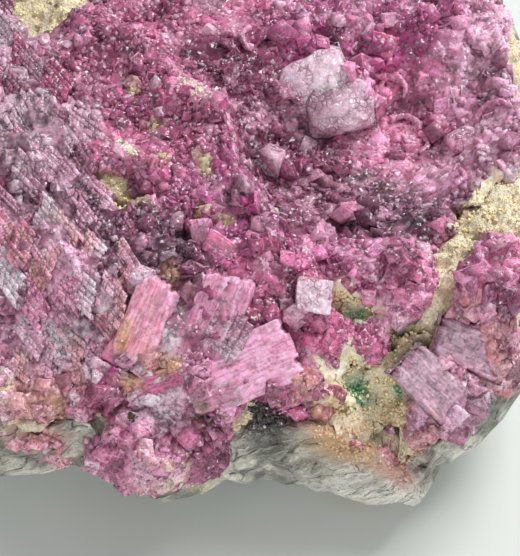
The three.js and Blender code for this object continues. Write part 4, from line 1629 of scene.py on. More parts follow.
    def _block(self, rng: Chance, middle: Array, spans: Pair, lane_lift: float) -> tuple[Array, Array]:
        """One block's frame and centre.

        Args:
            rng: The source of chance.
            middle: Its place along and across the face, mm.
            spans: Its length and width, mm.
            lane_lift: How far its row stands out, mm.

        Returns:
            Its frame and its centre in the row frame, mm.
        """
        long, short, normal = self.axes()
        shares = 2 * middle / np.array(self.size[:2])
        top = self.PROUD + lane_lift + rng.normal(0, 0.4 * self.LIFT) - self.dome * np.sum(shares**2) / 2
        bottom = -self.ROOTED * self.size[2]
        slopes = rng.normal(0, self.LEAN, 2) - 2 * self.dome * shares / np.array(self.size[:2])
        edges = zip((long, short), slopes, spans)
        sides = [(edge + slope * normal) * span * self.OVERLAP for edge, slope, span in edges]
        frame = np.stack([*sides, normal * (top - bottom)], axis=1)
        return frame, self.centre() + long * middle[0] + short * middle[1] + normal * (top + bottom) / 2

    def _cuts(self, rng: Chance, span: float, grain: float) -> Array:
        """Uneven cuts across a span centred on zero.

        Args:
            rng: The source of chance.
            span: The span, mm.
            grain: Usual distance between cuts, mm.

        Returns:
            The cuts, ends included.
        """
        steps = rng.uniform(0.55, 1.45, max(1, round(span / grain)))
        return np.concatenate([[0], np.cumsum(steps)]) / steps.sum() * span - span / 2


CLEAVED_ROWS = (  # the fields of each large crystal
    # the pale crystal in the bowl
    ((5.6, 24.4, 18.5), (-104, 54), 36, 84, (7.4, 6, 5), Texture.CRAZED, (Tone.PALE, Tone.PALE), 0.9, True),
    ((8.6, 22, 17.4), (-88, 58), 14, 84, (7.2, 5.6, 4), Texture.CRAZED,
     (Tone.SILVER, Tone.PALE), 0.7, True),
    # the cleaved group on the front slope
    ((-5, -7.3, 21.8), (-98, 60), 74, 104, (9.6, 6, 4), Texture.STRIATED,
     (Tone.MAUVE, Tone.LILAC), 0, False, 1),
    ((-1.4, -11, 19.3), (-88, 60), 22, 88, (10.4, 6.2, 4), Texture.STRIATED,
     (Tone.LILAC, Tone.LILAC), 0, False, 1),
    ((-3.2, -8.3, 21.1), (-94, 60), 66, 84, (4.4, 4, 3), Texture.MOSAIC, (Tone.SILVER, Tone.MAUVE)),
    ((-4.2, -13.5, 17.9), (-86, 60), 12, 96, (4.8, 2.4, 3), Texture.STRIATED, (Tone.LILAC, Tone.PINK)),
    ((-11.4, -7.8, 21.5), (-98, 60), 72, 80, (10, 4.4, 3.4), Texture.STRIATED,
     (Tone.PEACH, Tone.LILAC), 0, False, 1.4),
    ((-13, -8.4, 20.6), (-108, 58), 66, 92, (6.4, 2.2, 3), Texture.SMOOTH, (Tone.PINK, Tone.PEACH)),
    ((-11.6, -4, 22.6), (-84, 60), -24, 90, (2.6, 1.8, 2.6), Texture.SMOOTH, (Tone.PINK, Tone.LILAC)),
    ((-9.7, -12, 18), (-92, 52), 16, 84, (5.4, 2.6, 3), Texture.STRIATED, (Tone.PINK, Tone.ROSE)),
    ((-13.9, -12.2, 18.4), (-76, 46), 36, 102, (3, 2.6, 2.6), Texture.SMOOTH, (Tone.MAGENTA, Tone.MAGENTA)),
    # square rhombs and blocks behind the group
    ((5.2, -5, 22.8), (-92, 58), -8, 92, (3.5, 3.3, 3.2), Texture.CRAZED, (Tone.PALE, Tone.PALE)),
    ((-5.9, 1.9, 22.4), (-110, 54), 118, 84, (3.8, 2, 3), Texture.SMOOTH, (Tone.LILAC, Tone.LILAC)),
    ((-3.9, 0.2, 23.2), (-84, 58), 140, 98, (3.4, 2.4, 2.4), Texture.SMOOTH, (Tone.MAUVE, Tone.PINK)),
    ((9.1, 8.2, 17.7), (-90, 60), 4, 88, (1.8, 2, 2), Texture.SMOOTH, (Tone.LILAC, Tone.LILAC)),
    ((13.2, 29.2, 18.8), (-100, 58), -10, 88, (3, 2.4, 2.6), Texture.SMOOTH, (Tone.ROSE, Tone.ROSE)),
    ((1.3, 14.7, 17), (-84, 56), 38, 94, (3.4, 3, 2.6), Texture.MOSAIC,
     (Tone.SILVER, Tone.MAUVE), 0.3, True),
    ((-6, 33.6, 20.6), (-76, 58), 26, 98, (4, 3.4, 2.6), Texture.CRAZED,
     (Tone.LILAC, Tone.SILVER), 0.6, True),
    ((21.6, 18.6, 16.2), (-90, 60), 30, 96, (3.4, 2.8, 2.6), Texture.CRAZED,
     (Tone.LILAC, Tone.SILVER), 0.6, True),
    # the eastern cushion and the slope below it
    ((21.2, -3.7, 21.9), (-94, 54), 84, 98, (4.4, 3.4, 3), Texture.SMOOTH,
     (Tone.PEACH, Tone.PINK), 0.6, True),
    ((23.4, 0.8, 21.6), (-74, 58), 50, 100, (3.6, 2.8, 2.6), Texture.SMOOTH,
     (Tone.PINK, Tone.MAUVE), 0.4, True),
    ((17, -11.5, 16.5), (-78, 57), 124, 88, (7.4, 4.4, 3), Texture.STRIATED,
     (Tone.SILVER, Tone.SILVER), 0, False, 1),
    ((21.2, -7.9, 17.2), (-74, 57), 144, 96, (7.8, 4.4, 3), Texture.STRIATED,
     (Tone.SILVER, Tone.SILVER), 0, False, 1),
)
CLEAVED_FACES = tuple(CleavedFace(*row) for row in CLEAVED_ROWS)


@dataclass
class SlabPlates:
    """The cleaved plates that the western slab is made of."""

    throws: int = 40000
    gap: float = 2.9
    looks: Pair = (-112.0, 62.0)
    turn: float = -28.0
    skew: float = 124.0
    upper: tuple[Tone, ...] = (Tone.SILVER, Tone.MAUVE, Tone.LILAC, Tone.SILVER, Tone.RASPBERRY)
    lower: tuple[Tone, ...] = (Tone.PEACH, Tone.LILAC, Tone.PINK, Tone.PALE, Tone.PEACH)
    highest: float = 25.6
    lengths: Pair = (2.6, 6.0)
    widths: Pair = (2.4, 4.4)
    depth: float = 2.2
    seed: int = 19

    GAPS = (0.7, 1.3)  # how uneven the gaps are
    FLATTEST = 0.5  # least upward part of the normal where a plate lies
    FOLLOW = 0.8  # how far a plate follows the ground's own slope
    LEAN = 0.16  # how unevenly they look
    TWIST = 5  # how unevenly they are turned, degrees
    LIFTS = (-0.2, 0.4)  # how unevenly they stand, mm
    PARTING = 2  # where the lower tones give way to the upper ones, mm in plan

    def faces(self, ground: Ground) -> tuple[CleavedFace, ...]:
        """Lays the plates over the slab, all nearly in one direction.

        Args:
            ground: The druse's outer faces.

        Returns:
            The plates.
        """
        rng = np.random.default_rng(self.seed)
        points, normals = ground.throw(rng, self.throws)
        keep = (regions_at(in_plan(points)) == Region.SLAB) & (normals[:, 2] > self.FLATTEST)
        points, normals = points[keep], normals[keep]
        kept = spread(points, self.gap * rng.uniform(*self.GAPS, len(points)))
        plates = []
        for point, normal in zip(points[kept] - PLAN_SHIFT, normals[kept]):
            look = unit(pointing(*self.looks) + self.FOLLOW * normal + rng.normal(0, self.LEAN, 3))
            azimuth = math.degrees(math.atan2(look[1], look[0]))
            size = (rng.uniform(*self.lengths), rng.uniform(*self.widths), self.depth)
            choice = self.upper if point[1] > self.PARTING else self.lower
            tones = rng.choice(np.array(choice, dtype=object), 2)
            turn = self.turn - azimuth + self.looks[0] + rng.normal(0, self.TWIST)
            looks = (azimuth, math.degrees(math.asin(look[2])))
            plate = CleavedFace(tuple(point), looks, turn, self.skew, size, Texture.MOSAIC, tuple(tones))
            long, short, _ = plate.axes()
            peak = point[2] + 0.5 * (size[0] * abs(long[2]) + size[1] * abs(short[2]))
            lift = rng.uniform(*self.LIFTS) - max(0.0, peak - self.highest)
            plates.append(replace(plate, face=(point[0], point[1], point[2] + lift)))
        return tuple(plates)


@dataclass
class CleavedCrystals:
    """The large crystals, each broken into lamellae or blocks."""

    WEAR = ((0.9, 1.0), (0.3, 0.5))  # width of each layer of relief, mm, and its share of the wear

    faces: tuple[CleavedFace, ...]
    seed: int = 41

    def build(self, seedlings: Seedlings) -> None:
        """Models the crystals, one piece for each texture.

        Args:
            seedlings: The habits.
        """
        rng = np.random.default_rng(self.seed)
        for texture in Texture:
            mine = [face for face in self.faces if face.texture is texture]
            name = f"crystals_{texture.name.lower()}"
            if texture is Texture.MOSAIC:
                lots = Copies.merged([face.blocks(rng) for face in mine])
                piece = self._worn(seedlings.made[Habit.BRICK].joined(name, lots), texture)
            else:
                tile = seedlings.made[Habit.TILE]
                pieces = [self._worn(tile.joined(name, face.whole()), texture) for face in mine]
                for face, part in zip(mine, pieces):
                    face.carve(part)
                piece = take(pieces[0])
                for part in pieces:
                    part.select_set(True)
                bpy.ops.object.join()
            dress(piece, texture.value.finish.build())

    def _worn(self, piece: Piece, texture: Texture) -> Piece:
        """Splits a piece's faces and roughens them.

        Args:
            piece: The piece.
            texture: How it is broken.

        Returns:
            The piece.
        """
        split = piece.modifiers.new("split", "SUBSURF")
        split.subdivision_type = "SIMPLE"
        split.levels = split.render_levels = texture.value.splits
        apply_modifiers(piece)
        for grain, share in self.WEAR:
            Roughening(Relief.CLOUDS, grain, share * texture.value.wear).add_to(piece)
        return piece

    def cover(self, points: Array) -> Array:
        """Which points lie on any of the crystals."""
        return np.any([face.covers(points) for face in self.faces], axis=0)


# ---- the druse


@dataclass(frozen=True)
class Growth:
    """How the small crystals grow in one region.

    Attributes:
        edge: Smallest and largest edge, mm.
        crowding: Distance between crystals as a share of their edge.
        accord: How far neighbours share one direction, from 0 to 1.
        depth: How deep the deepest ones stand, as a share of their edge.
    """

    edge: Pair
    crowding: float
    accord: float
    depth: float


class Region(Enum):
    """The druse's regions."""

    BOWL = Growth((0.42, 1.9), 0.54, 0.65, 0.78)
    CREST = Growth((0.4, 1.3), 0.54, 0.45, 0.5)
    SLAB = Growth((0.4, 1.2), 0.58, 0.8, 0.5)
    BLADES = Growth((0.45, 1.8), 0.54, 0.5, 0.5)
    HEM = Growth((0.5, 1.7), 0.54, 0.45, 0.6)
    EAST = Growth((0.5, 2.0), 0.54, 0.6, 0.55)


REGION_MIDDLES = (
    (Region.BOWL, (9, 20), (19, 15)),
    (Region.CREST, (-10, 15), (9, 10)),
    (Region.CREST, (-16, 26), (8, 7)),
    (Region.SLAB, (-24, 8), (9, 15)),
    (Region.SLAB, (-18, -4), (6, 7)),
    (Region.BLADES, (-2, -6), (12, 7)),
    (Region.BLADES, (9, -2), (9, 6)),
    (Region.HEM, (-9, -16), (10, 3.6)),
    (Region.HEM, (-22, -14.5), (9, 4)),
    (Region.EAST, (22, -4), (7, 9)),
)


def regions_at(plan: Array) -> Array:
    """The region of each place.

    Args:
        plan: Places in plan, one row each.

    Returns:
        The regions.
    """
    ragged = REGION_RIMS.moved(plan)
    scores = [
        np.sum(((ragged - middle) / np.array(reach)) ** 2, axis=1) for _, middle, reach in REGION_MIDDLES
    ]
    names = np.array([region for region, _, _ in REGION_MIDDLES], dtype=object)
    return names[np.argmin(scores, axis=0)]


def veined(tints: Array, plan: Array) -> Array:
    """Colours with the paler and deeper veins that run through the druse.

    Args:
        tints: Linear colours.
        plan: Where they are in plan.

    Returns:
        Linear colours.
    """
    bent = VEIN_BENDS.moved(plan)
    vein = (BROAD_VEINS.at(bent) + FINE_VEINS.at(bent))[:, None]
    pale, deep = ramp(vein, 1.5, 0.15, 0.45), ramp(-vein, 1.6, 0.1, 0.7)
    return tints * (1 - pale - deep) + Tone.LILAC.light * pale + Tone.WINE.light * deep


TINT_WANDER = 0.8  # how far from beside it a small crystal's colour comes, mm
TINT_LIGHT = (1.02, 0.12)  # how light it usually is, and how unevenly
TINT_BOUNDS = (0.5, 1.6)  # the darkest and the lightest, as shares
TINT_STAIN = 0.85  # how strongly iron stains it
PIT_PAINTED_SHADE = 0.6  # painted shade: how much darker it is in a pit
ODD_TINTS = (  # chances between which a crystal takes a share of another tone
    (0.0, 0.08, Tone.PALE, 0.4),
    (0.88, 1.0, Tone.WINE, 0.5),
    (0.488, 0.512, Tone.OLIVE, 0.12),
)


def crystal_tints(rng: Chance, plan: Array) -> Array:
    """A colour for each small crystal: its place's, varied, with a few odd ones, and darker in the pits as
    painted shade.

    Args:
        rng: The source of chance.
        plan: Where they stand in plan.

    Returns:
        Linear colours.
    """
    tints = veined(blend_of(DRUSE_PATCHES, plan + rng.normal(0, TINT_WANDER, plan.shape)), plan)
    tints = tints * np.clip(rng.normal(*TINT_LIGHT, len(plan)), *TINT_BOUNDS)[:, None]
    chance = rng.random((len(plan), 1))
    for low, high, tone, share in ODD_TINTS:
        odd = (chance >= low) & (chance < high)
        tints = np.where(odd, (1 - share) * tints + share * tone.light, tints)
    pit = nearest_of(PIT_SPOTS, plan)[:, None]
    return stained(tints, plan, TINT_STAIN) * (1 - PIT_PAINTED_SHADE * pit)


SHARP_DRUSE = DolomiteFinish("druse_dolomite", glints=0.02)
SOFT_DRUSE = DolomiteFinish("bowl_dolomite", lean=0.45, contrast=0.26, roughness=0.44, glints=-0.01)
GROUND_DRUSE = DolomiteFinish(
    "druse_mass", facet=0.8, lean=0.9, contrast=0.35, roughness=0.36, earth=True
)
CURL_DRUSE = DolomiteFinish("curl_dolomite", facet=0.6, lean=0.4, contrast=0.15)


@dataclass
class DruseCarpet:
    """The small crystals that cover the druse."""

    HABITS = {Habit.HOLLOW: 0.25, Habit.RHOMB: 0.25, Habit.UNEVEN: 0.5}  # shares of the larger ones
    LAP = 0.45  # how strongly a spot acts where they begin to lap over the rock
    LAP_RIMS = Sway(0.3, 1.0, 26)
    THINNED = 1.1  # how much they thin out on bare ground
    STUNTED = 0.35  # how much smaller they are there
    LARGE_FIRST = 0.22  # how far the larger ones take their places first, to a millimetre of edge
    SHARED_LEANS = (21, 22, 23)  # the noises that lean neighbours one way
    LEAN = (0.8, 0.45)  # how far crystals lean with their neighbours and by themselves
    LEAN_WIDTH = 4.2  # mm
    SPINS = Sway(2.2, 5.0, 24)  # radians
    OWN_SPIN = 1.2  # radians
    ASIDE = np.array([0.31, 0.2, 0.93])  # a direction that no axis is likely to share
    STRETCH = (0.8, 1.2)  # shortest and longest axis, as shares of the edge
    HEAVES = Sway(0.35, 2.2, 25)  # mm
    PIT_DEPTH = 0.9  # mm

    throws: int = 150000
    seed: int = 7
    small: float = 0.85
    lowest: float = 7.2
    spread_up: float = 0.5

    def build(self, ground: Ground, rock: Ground, seedlings: Seedlings, cleaved: CleavedCrystals) -> None:
        """Grows the crystals, one piece for each region and habit.

        Args:
            ground: The druse's outer faces.
            rock: The rock's outer faces, which they lap over in places.
            seedlings: The habits.
            cleaved: The large crystals, which stay uncovered.
        """
        rng = np.random.default_rng(self.seed)
        points, normals, bare = self._thrown(rng, ground, rock, cleaved)
        regions = regions_at(in_plan(points))
        growths = [region.value for region in regions]
        low, high = np.array([growth.edge for growth in growths]).T
        edges = (low + (high - low) * rng.random(len(low)) ** 3) * (1 - self.STUNTED * bare)
        gaps = edges * np.array([growth.crowding for growth in growths])
        order = np.argsort(rng.random(len(edges)) - self.LARGE_FIRST * edges)
        kept = order[spread(points[order], gaps[order])]
        sharp, soft = SHARP_DRUSE.build(), SOFT_DRUSE.build()
        habits = rng.choice(list(self.HABITS), len(points), p=list(self.HABITS.values()))
        habits[edges < self.small] = Habit.SMALL
        for region in Region:
            for habit in (*self.HABITS, Habit.SMALL):
                mine = kept[(regions[kept] == region) & (habits[kept] == habit)]
                copies = self._copies(rng, region.value, points[mine], normals[mine], edges[mine])
                name = f"druse_{region.name.lower()}_{habit.value}"
                piece = seedlings.made[habit].joined(name, copies)
                dress(piece, soft if region is Region.BOWL else sharp)

    def _thrown(
        self, rng: Chance, ground: Ground, rock: Ground, cleaved: CleavedCrystals
    ) -> tuple[Array, Array, Array]:
        """Places where a crystal could stand.

        Args:
            rng: The source of chance.
            ground: The druse's outer faces.
            rock: The rock's outer faces.
            cleaved: The large crystals.

        Returns:
            The places, the normals there and how bare they are.
        """
        points, normals = ground.throw(rng, self.throws)
        beyond, beyond_normals = rock.throw(rng, self.throws)
        laps = nearest_of(LAPPING_SPOTS, in_plan(beyond)) + self.LAP_RIMS.at(beyond) > self.LAP
        laps &= beyond[:, 2] > self.lowest
        points = np.concatenate([points, beyond[laps]])
        normals = np.concatenate([normals, beyond_normals[laps]])
        bare = bareness(in_plan(points))
        clear = ~cleaved.cover(points) & (rng.random(len(points)) > self.THINNED * bare)
        return points[clear], normals[clear], bare[clear]

    def _copies(self, rng: Chance, growth: Growth, points: Array, normals: Array, edges: Array) -> Copies:
        """The crystals that stand at some points.

        Args:
            rng: The source of chance.
            growth: How they grow.
            points: Where they stand, mm.
            normals: The normals there.
            edges: Their edges, mm.

        Returns:
            The crystals.
        """
        count = len(points)
        shared = np.stack([drift(points, self.LEAN_WIDTH, seed) for seed in self.SHARED_LEANS], axis=1)
        together, alone = self.LEAN[0] * growth.accord, self.LEAN[1] * (1 - growth.accord)
        axis = unit(normals + together * shared + alone * rng.normal(size=(count, 3)))
        spin = self.SPINS.at(points) + rng.normal(0, self.OWN_SPIN * (1 - growth.accord), count)
        side = unit(np.cross(axis, self.ASIDE))
        across = side * np.cos(spin)[:, None] + np.cross(axis, side) * np.sin(spin)[:, None]
        frames = framed(across, axis, edges[:, None] * rng.uniform(*self.STRETCH, (count, 3)))
        lift = edges * (self.spread_up * rng.random(count) - growth.depth) + self.HEAVES.at(points)
        lift -= self.PIT_DEPTH * nearest_of(PIT_SPOTS, in_plan(points))
        tints = crystal_tints(rng, in_plan(points))
        return Copies(frames, points + normals * lift[:, None], tints, rng.random(count) ** 1.5)


@dataclass
class DruseMass:
    """The druse's mass under its small crystals, darkened as painted shade in the gaps between them and in
    the pits.
    """

    RELIEFS = (Roughening(Relief.CELLS, 1.5, 0.9), Roughening(Relief.CLOUDS, 0.6, 0.3))

    grain: float = 0.38
    # painted shade: the mass is darker than its crystals, as in the gaps between them, and darker still in
    # the pits
    shade: float = 0.85
    painted_pit_shade: float = 0.7

    def build(self, nodes: list[Piece]) -> None:
        """Roughens copies of the druse's solids and lets them stand for the solids.

        Args:
            nodes: The solids.
        """
        material = GROUND_DRUSE.build()
        for node in nodes:
            piece = rough_copy(node, self.grain, self.RELIEFS)
            plan = in_plan(places(piece))
            bare = bareness(plan)[:, None]
            pit = nearest_of(PIT_SPOTS, plan)[:, None]
            # painted shade in the gaps between the crystals and in the pits
            tints = stained(self.shade * veined(blend_of(DRUSE_PATCHES, plan), plan), plan)
            tints = tints * (1 - self.painted_pit_shade * pit)
            earth = earthy(plan)
            paint(piece, "tint", opaque(tints * (1 - bare) + earth * bare))
            paint(piece, "bare", bare[:, 0])
            paint_ground(piece, plan)
            dress(piece, material)


@dataclass(frozen=True)
class Curl:
    """A curved rim of lilac dolomite: its plan middle, radius, first and last bearing, mm and degrees."""

    x: float
    y: float
    radius: float
    first: float
    last: float


CURLS = (
    Curl(14.3, 25.9, 1.5, -20, 110),
    Curl(15.4, 21.3, 1.9, 10, 120),
    Curl(16.8, 19.5, 1.2, -60, 60),
    Curl(9.9, 27.8, 3.4, -75, -10),
    Curl(-0.6, 29.4, 1.4, 120, 250),
    Curl(19.6, 13.3, 1.9, -70, 30),
    Curl(24.8, 20.2, 1.7, 40, 160),
)


@dataclass
class Curls:
    """The curved lilac rims in the bowl."""

    OVERLAP = 2.2  # length of a block, in steps
    FEWEST = 4  # blocks in a rim
    LEAN = 0.16  # how unevenly the blocks stand
    VARY = 0.12  # how unevenly light they are

    step: float = 0.3
    widths: Pair = (0.3, 0.6)
    height: float = 1.6
    sunk: float = 0.3
    seed: int = 29

    def build(self, ground: Ground, seedlings: Seedlings) -> None:
        """Lays each rim as a chain of short overlapping blocks.

        Args:
            ground: The druse's outer faces.
            seedlings: The habits.
        """
        rng = np.random.default_rng(self.seed)
        plan, bearings = [], []
        for curl in CURLS:
            count = max(self.FEWEST, round(math.radians(curl.last - curl.first) * curl.radius / self.step))
            angles = np.radians(np.linspace(curl.first, curl.last, count))
            ring = curl.radius * np.stack([np.cos(angles), np.sin(angles)], axis=1)
            plan.append(ring + (curl.x, curl.y))
            bearings.append(angles + math.pi / 2)
        landed, points, normals = ground.drop(np.concatenate(plan))
        bearing = np.concatenate(bearings)[landed]
        way = np.stack([np.cos(bearing), np.sin(bearing), np.zeros(len(bearing))], axis=1)
        normal = unit(normals + rng.normal(0, self.LEAN, normals.shape))
        long = unit(way - normal * np.sum(way * normal, axis=1)[:, None])
        width = rng.uniform(*self.widths, len(long))[:, None]
        columns = (long * self.step * self.OVERLAP, np.cross(normal, long) * width, normal * self.height)
        tints = Tone.PINK.light * rng.normal(1.0, self.VARY, (len(long), 1))
        frames = np.stack(columns, axis=2)
        copies = Copies(frames, points - self.sunk * normal, tints, rng.random(len(long)))
        piece = seedlings.made[Habit.BRICK].joined("lilac_curls", copies)
        dress(piece, CURL_DRUSE.build())


# ---- matrix and rock


@dataclass
class BuffMatrix:
    """The buff layer, with its crumbs and copper coating."""

    RELIEFS = (
        Roughening(Relief.CLOUDS, 2.2, 1.0, 0.6),
        Roughening(Relief.CELLS, 1.3, 0.9, 0.6),
        Roughening(Relief.CLOUDS, 0.8, 0.7),
    )
    PERCH = (0.3, 0.2)  # how high crumbs lie on the matrix and on the rock, mm
    ON_DRUSE = (0.3, 0.9)  # how bare the druse is where they begin to lie, and where all of them do
    ON_ROCK = (0.4, 1.0)  # how stained the rock is where they begin to lie, and where all of them do
    OFF_HOLES = 0.25  # how near a hole none lie
    CRUMB = (0.09, 0.18)  # the smallest, and how much larger the largest is, mm
    FATTER = (0.3, 0.5)  # how much larger they are in heaps and in seams
    PILED = (0.4, 0.6)  # how high they are piled in heaps and in seams, mm
    GREEN = (0.55, 0.22)  # how near the copper they are green, and how unevenly
    EARTHY = (0.88, 1.1)  # the darkest and the lightest, as shares
    COPPERY = (0.6, 1.5)  # the same for the green ones
    STAINED = (0.35, 0.6)  # how strongly iron stains them, and rust where the rock is stained

    grain: float = 0.38
    crumbs: int = 40000
    lip: Triple = (0.0, 1.3, 1.0)
    hole_depth: float = 1.2
    underside: float = 8.0
    seed: int = 13

    def build(self, node: Piece) -> Piece:
        """Roughens a copy of the matrix and lets it stand for the solid.

        Args:
            node: The solid.

        Returns:
            The copy.
        """
        piece = rough_copy(node, self.grain, self.RELIEFS)
        points = places(piece)
        plan = in_plan(points)
        holes = share_of(HOLE_SPOTS, plan, 1.8, 0.3)
        points[:, 2] -= self.hole_depth * holes * (points[:, 2] > self.underside)
        points -= nearest_of(LIPS, plan)[:, None] * self.lip
        move_corners(piece, points)
        paint_ground(piece, plan)
        paint(piece, "tint", opaque(earthy(plan)))
        dress(piece, BuffFinish().build())
        return piece

    def scatter(self, ground: Ground, druse: Ground, rock: Ground, seedlings: Seedlings) -> None:
        """Strews crumbs over the bare layer, the druse's thin edges and the stained rock.

        Args:
            ground: The layer's outer faces.
            druse: The druse's outer faces.
            rock: The rock's outer faces.
            seedlings: The habits.
        """
        rng = np.random.default_rng(self.seed)
        points = self._strewn(rng, ground, druse, rock)
        plan = in_plan(points)
        heaped, seam = nearest_of(HEAPS, plan), nearest_of(SEAMS, plan)
        smallest, more = self.CRUMB
        sizes = smallest + more * rng.random(len(points)) ** 2
        sizes = sizes * (1 + self.FATTER[0] * heaped * rng.random(len(points)))
        sizes *= 1 + self.FATTER[1] * seam
        piled = self.PILED[0] * heaped + self.PILED[1] * seam
        points[:, 2] += piled * rng.random(len(points)) - self.PERCH[0]
        start, uneven = self.GREEN
        green = nearest_of(COPPER_SPOTS, plan) + uneven * rng.normal(size=len(points)) > start
        iron, most = self.STAINED
        tints = stained(Tone.SAND.light * rng.uniform(*self.EARTHY, (len(points), 1)), plan, iron)
        rust = most * nearest_of(RUST_STAINS, plan)[:, None]
        tints = tints * (1 - rust) + blend_of(RUST_STAINS, plan) * rust
        copper = Tone.VERDIGRIS.light * rng.uniform(*self.COPPERY, (len(points), 1))
        tints = np.where(green[:, None], copper, tints)
        copies = Copies(tumbled(rng, sizes), points, tints, np.zeros(len(points)))
        piece = seedlings.made[Habit.SMALL].joined("matrix_crumbs", copies)
        dress(piece, GrainFinish("matrix_crumb", roughness=0.9, specular=0.3).build())

    def _strewn(self, rng: Chance, ground: Ground, druse: Ground, rock: Ground) -> Array:
        """Places for the crumbs.

        Args:
            rng: The source of chance.
            ground: The layer's outer faces.
            druse: The druse's outer faces.
            rock: The rock's outer faces.

        Returns:
            The places in the row frame, mm.
        """
        bare, _ = ground.throw(rng, self.crumbs)
        bare[:, 2] += self.PERCH[0]
        strewn, _ = druse.throw(rng, 4 * self.crumbs)
        strewn = strewn[bareness(in_plan(strewn)) > rng.uniform(*self.ON_DRUSE, len(strewn))]
        rusty, _ = rock.throw(rng, 5 * self.crumbs)
        rusty[:, 2] += self.PERCH[1]
        rusty = rusty[nearest_of(RUST_STAINS, in_plan(rusty)) > rng.uniform(*self.ON_ROCK, len(rusty))]
        points = np.concatenate([bare, strewn, rusty])
        return points[nearest_of(HOLE_SPOTS, in_plan(points)) < self.OFF_HOLES]


@dataclass
class HostRock:
    """The grey host rock under everything."""

    FLAKES = (8.0, 6.0, 1.0)  # how much longer the folia are along each of their own axes
    CHIPS = (4.0, 2.5, 1.0)  # and the chips between them
    FOOT = (0.6, 0.05)  # height under which the rock is pressed flat, mm, and the share that is left
    STAIN_FOOT = 6  # height above which it is stained, mm
    THROWS = 90000
    GRAINS = 3000  # most dark grains
    GRAIN = (0.12, 0.34)  # smallest and largest of them, mm
    LIGHT = (0.5, 2.6)  # darkest and lightest of them, as shares
    PAINTED_GLINT_CHANCE = 0.95  # chance above which one is painted pale as a glint, a painted highlight

    grain: float = 0.55
    facets: float = 0.08
    dip: float = 24.0
    paler_spots: tuple[Spot, ...] = (Spot(12.4, -18.4, 9, 2.4, -10), Spot(-20, -17.6, 6, 1.4))
    seed: int = 23

    def build(self, node: Piece) -> Piece:
        """Roughens a copy of the rock along its foliation and lets it stand for the solid.

        Args:
            node: The solid.

        Returns:
            The copy.
        """
        flakes = Roughening(Relief.CLOUDS, 1.2, 0.8, 0.6, self.FLAKES, self.dip)
        chips = Roughening(Relief.CELLS, 1.5, 1.0, 0.5, self.CHIPS, self.dip)
        piece = rough_copy(node, self.grain, (flakes, chips))
        broken = piece.modifiers.new("broken", "DECIMATE")
        broken.ratio = self.facets
        apply_modifiers(piece)
        bpy.ops.object.shade_flat()
        points = places(piece)
        low = points[:, 2] < self.FOOT[0]
        points[low, 2] = np.maximum(points[low, 2] * self.FOOT[1], 0.0)
        move_corners(piece, points)
        plan = in_plan(points)
        paint(piece, "stain", share_of(ROCK_STAINS, plan, 2.4, 0.4) * (points[:, 2] > self.STAIN_FOOT))
        paint(piece, "tint", opaque(blend_of(ROCK_STAINS, plan)))
        paint(piece, "pale", share_of(self.paler_spots, plan, 1.6, 0.1, 0.9))
        dress(piece, RockFinish(dip=self.dip).build())
        return piece

    def scatter(self, grounds: list[Ground], seedlings: Seedlings, cleaved: CleavedCrystals) -> None:
        """Grows dark mineral grains where the rock meets the druse, a few painted pale as glints.

        Args:
            grounds: The outer faces of what they grow on.
            seedlings: The habits.
            cleaved: The large crystals, which stay uncovered.
        """
        rng = np.random.default_rng(self.seed)
        points = np.concatenate([ground.throw(rng, self.THROWS)[0] for ground in grounds])
        plan = in_plan(points)
        near = (nearest_of(DARK_SPOTS, plan) > 0.5) & ~cleaved.cover(points)
        points, plan = points[near], plan[near]
        count = min(self.GRAINS, len(points))
        points, plan = points[:count], plan[:count]
        # painted highlight: a few grains are painted pale as glints
        glint = rng.random((count, 1)) > self.PAINTED_GLINT_CHANCE
        tints = blend_of(DARK_SPOTS, plan) * rng.uniform(*self.LIGHT, (count, 1))
        tints = np.where(glint, Tone.PALE.light, tints)
        copies = Copies(tumbled(rng, rng.uniform(*self.GRAIN, count)), points, tints, np.zeros(count))
        piece = seedlings.made[Habit.SMALL].joined("dark_grains", copies)
        dress(piece, GrainFinish("dark_grain", roughness=0.3).build())


# ---- the studio


@dataclass(frozen=True)
class Lamp:
    """A soft square light that looks at the cluster: its place and side in metres, its power in watts."""

    AIM = Vector((0, 0, 0.01))

    name: str
    place: Triple
    side: float
    power: float

    def hang(self) -> None:
        """Hangs the light."""
        light = bpy.data.lights.new(self.name, "AREA")
        light.shape = "SQUARE"
        light.size = self.side
        light.energy = self.power
        holder = link(bpy.data.objects.new(self.name, light))
        holder.location = self.place
        holder.rotation_euler = (self.AIM - Vector(self.place)).to_track_quat("-Z", "Y").to_euler()


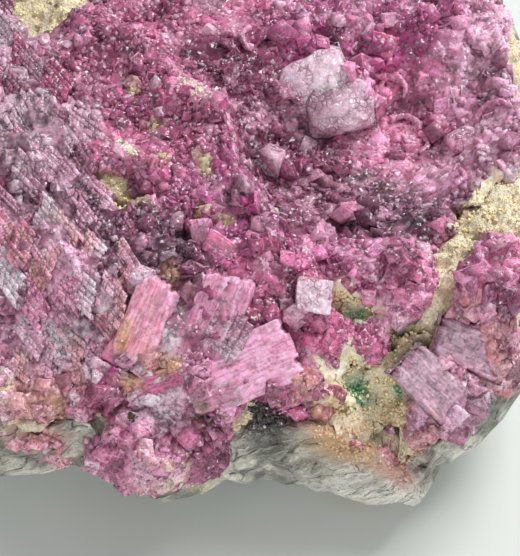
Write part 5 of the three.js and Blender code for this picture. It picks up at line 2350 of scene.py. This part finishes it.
@dataclass
class Studio:
    """Floor, lights and camera, whose places and lengths are in millimetres unless they say otherwise."""

    SENSOR = 36  # mm
    NEAREST = 0.01  # metres

    target: Triple = (3.24, -12.44, 18.0)
    distance: float = 190.0
    elevation: float = 58.0  # degrees
    lens: float = 123.0
    floor_size: float = 1.4  # metres
    floor_tones: tuple[tuple[int, int, int], ...] = ((212, 217, 212), (217, 222, 217))
    room: float = 0.36  # strength of the room's own light
    daylight: Triple = (0.97, 0.99, 1.0)
    lamps: tuple[Lamp, ...] = (
        Lamp("key", (0.20, 0.20, 0.30), 0.2, 1.65),
        Lamp("fill", (0.04, -0.44, 0.20), 0.3, 0.9),
        Lamp("glint", (0.10, 0.26, 0.24), 0.04, 0.12),
    )

    def build(self) -> None:
        """Sets the whole studio."""
        self._floor()
        for lamp in self.lamps:
            lamp.hang()
        world = bpy.data.worlds.new("room")
        world.use_nodes = True
        light = world.node_tree.nodes["Background"]
        light.inputs["Color"].default_value = (*self.daylight, 1.0)
        light.inputs["Strength"].default_value = self.room
        bpy.context.scene.world = world
        bpy.context.scene.view_settings.view_transform = "Standard"
        self._camera()

    def _floor(self) -> None:
        """Lays a plain pale floor."""
        bpy.ops.object.select_all(action="DESELECT")
        bpy.ops.mesh.primitive_plane_add(size=self.floor_size)
        floor = bpy.context.object
        floor.name = "floor"
        shader = Shader("floor")
        mottle = shader.remap(shader.noise(shader.place(), 30, 2, 0.5), 0.3, 0.7)
        colours = [(*linear(*tone), 1.0) for tone in self.floor_tones]
        shader.set(Base_Color=shader.mix(mottle, *colours), Roughness=0.8)
        floor.data.materials.append(shader.material)

    def _camera(self) -> None:
        """Sets the camera in front and above."""
        tilt = math.radians(self.elevation)
        away = Vector((0, -math.cos(tilt), math.sin(tilt))) * self.distance * MM
        data = bpy.data.cameras.new("camera")
        data.lens = self.lens
        data.sensor_width = self.SENSOR
        data.clip_start = self.NEAREST
        camera = link(bpy.data.objects.new("camera", data))
        camera.location = Vector(self.target) * MM + away
        camera.rotation_euler = (-away).to_track_quat("-Z", "Y").to_euler()
        bpy.context.scene.camera = camera


# ---- the whole


def main() -> None:
    """Builds the cluster and its studio."""
    logging.basicConfig(level=logging.INFO, format="%(message)s")
    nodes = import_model()["nodes"]
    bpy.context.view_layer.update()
    bpy.ops.object.select_all(action="DESELECT")
    rock, buff = nodes["host_rock"], nodes["buff_matrix"]
    druses = [nodes["druse_crust"], nodes["druse_east"]]
    rock_ground = Ground([rock], [buff, *druses])
    buff_ground = Ground([buff], [rock, *druses])
    druse_ground = Ground(druses, [buff, rock])
    seedlings = Seedlings()
    cleaved = CleavedCrystals((*CLEAVED_FACES, *SlabPlates().faces(druse_ground)))
    host, matrix = HostRock(), BuffMatrix()
    rough_ground = Ground([host.build(rock)], [buff, *druses])
    host.scatter([rock_ground, druse_ground, buff_ground], seedlings, cleaved)
    crumbly_ground = Ground([matrix.build(buff)], [rock, *druses])
    matrix.scatter(crumbly_ground, druse_ground, rough_ground, seedlings)
    DruseMass().build(druses)
    cleaved.build(seedlings)
    DruseCarpet().build(druse_ground, rock_ground, seedlings, cleaved)
    Curls().build(druse_ground, seedlings)
    Studio().build()


if __name__ == "__main__":
    main()
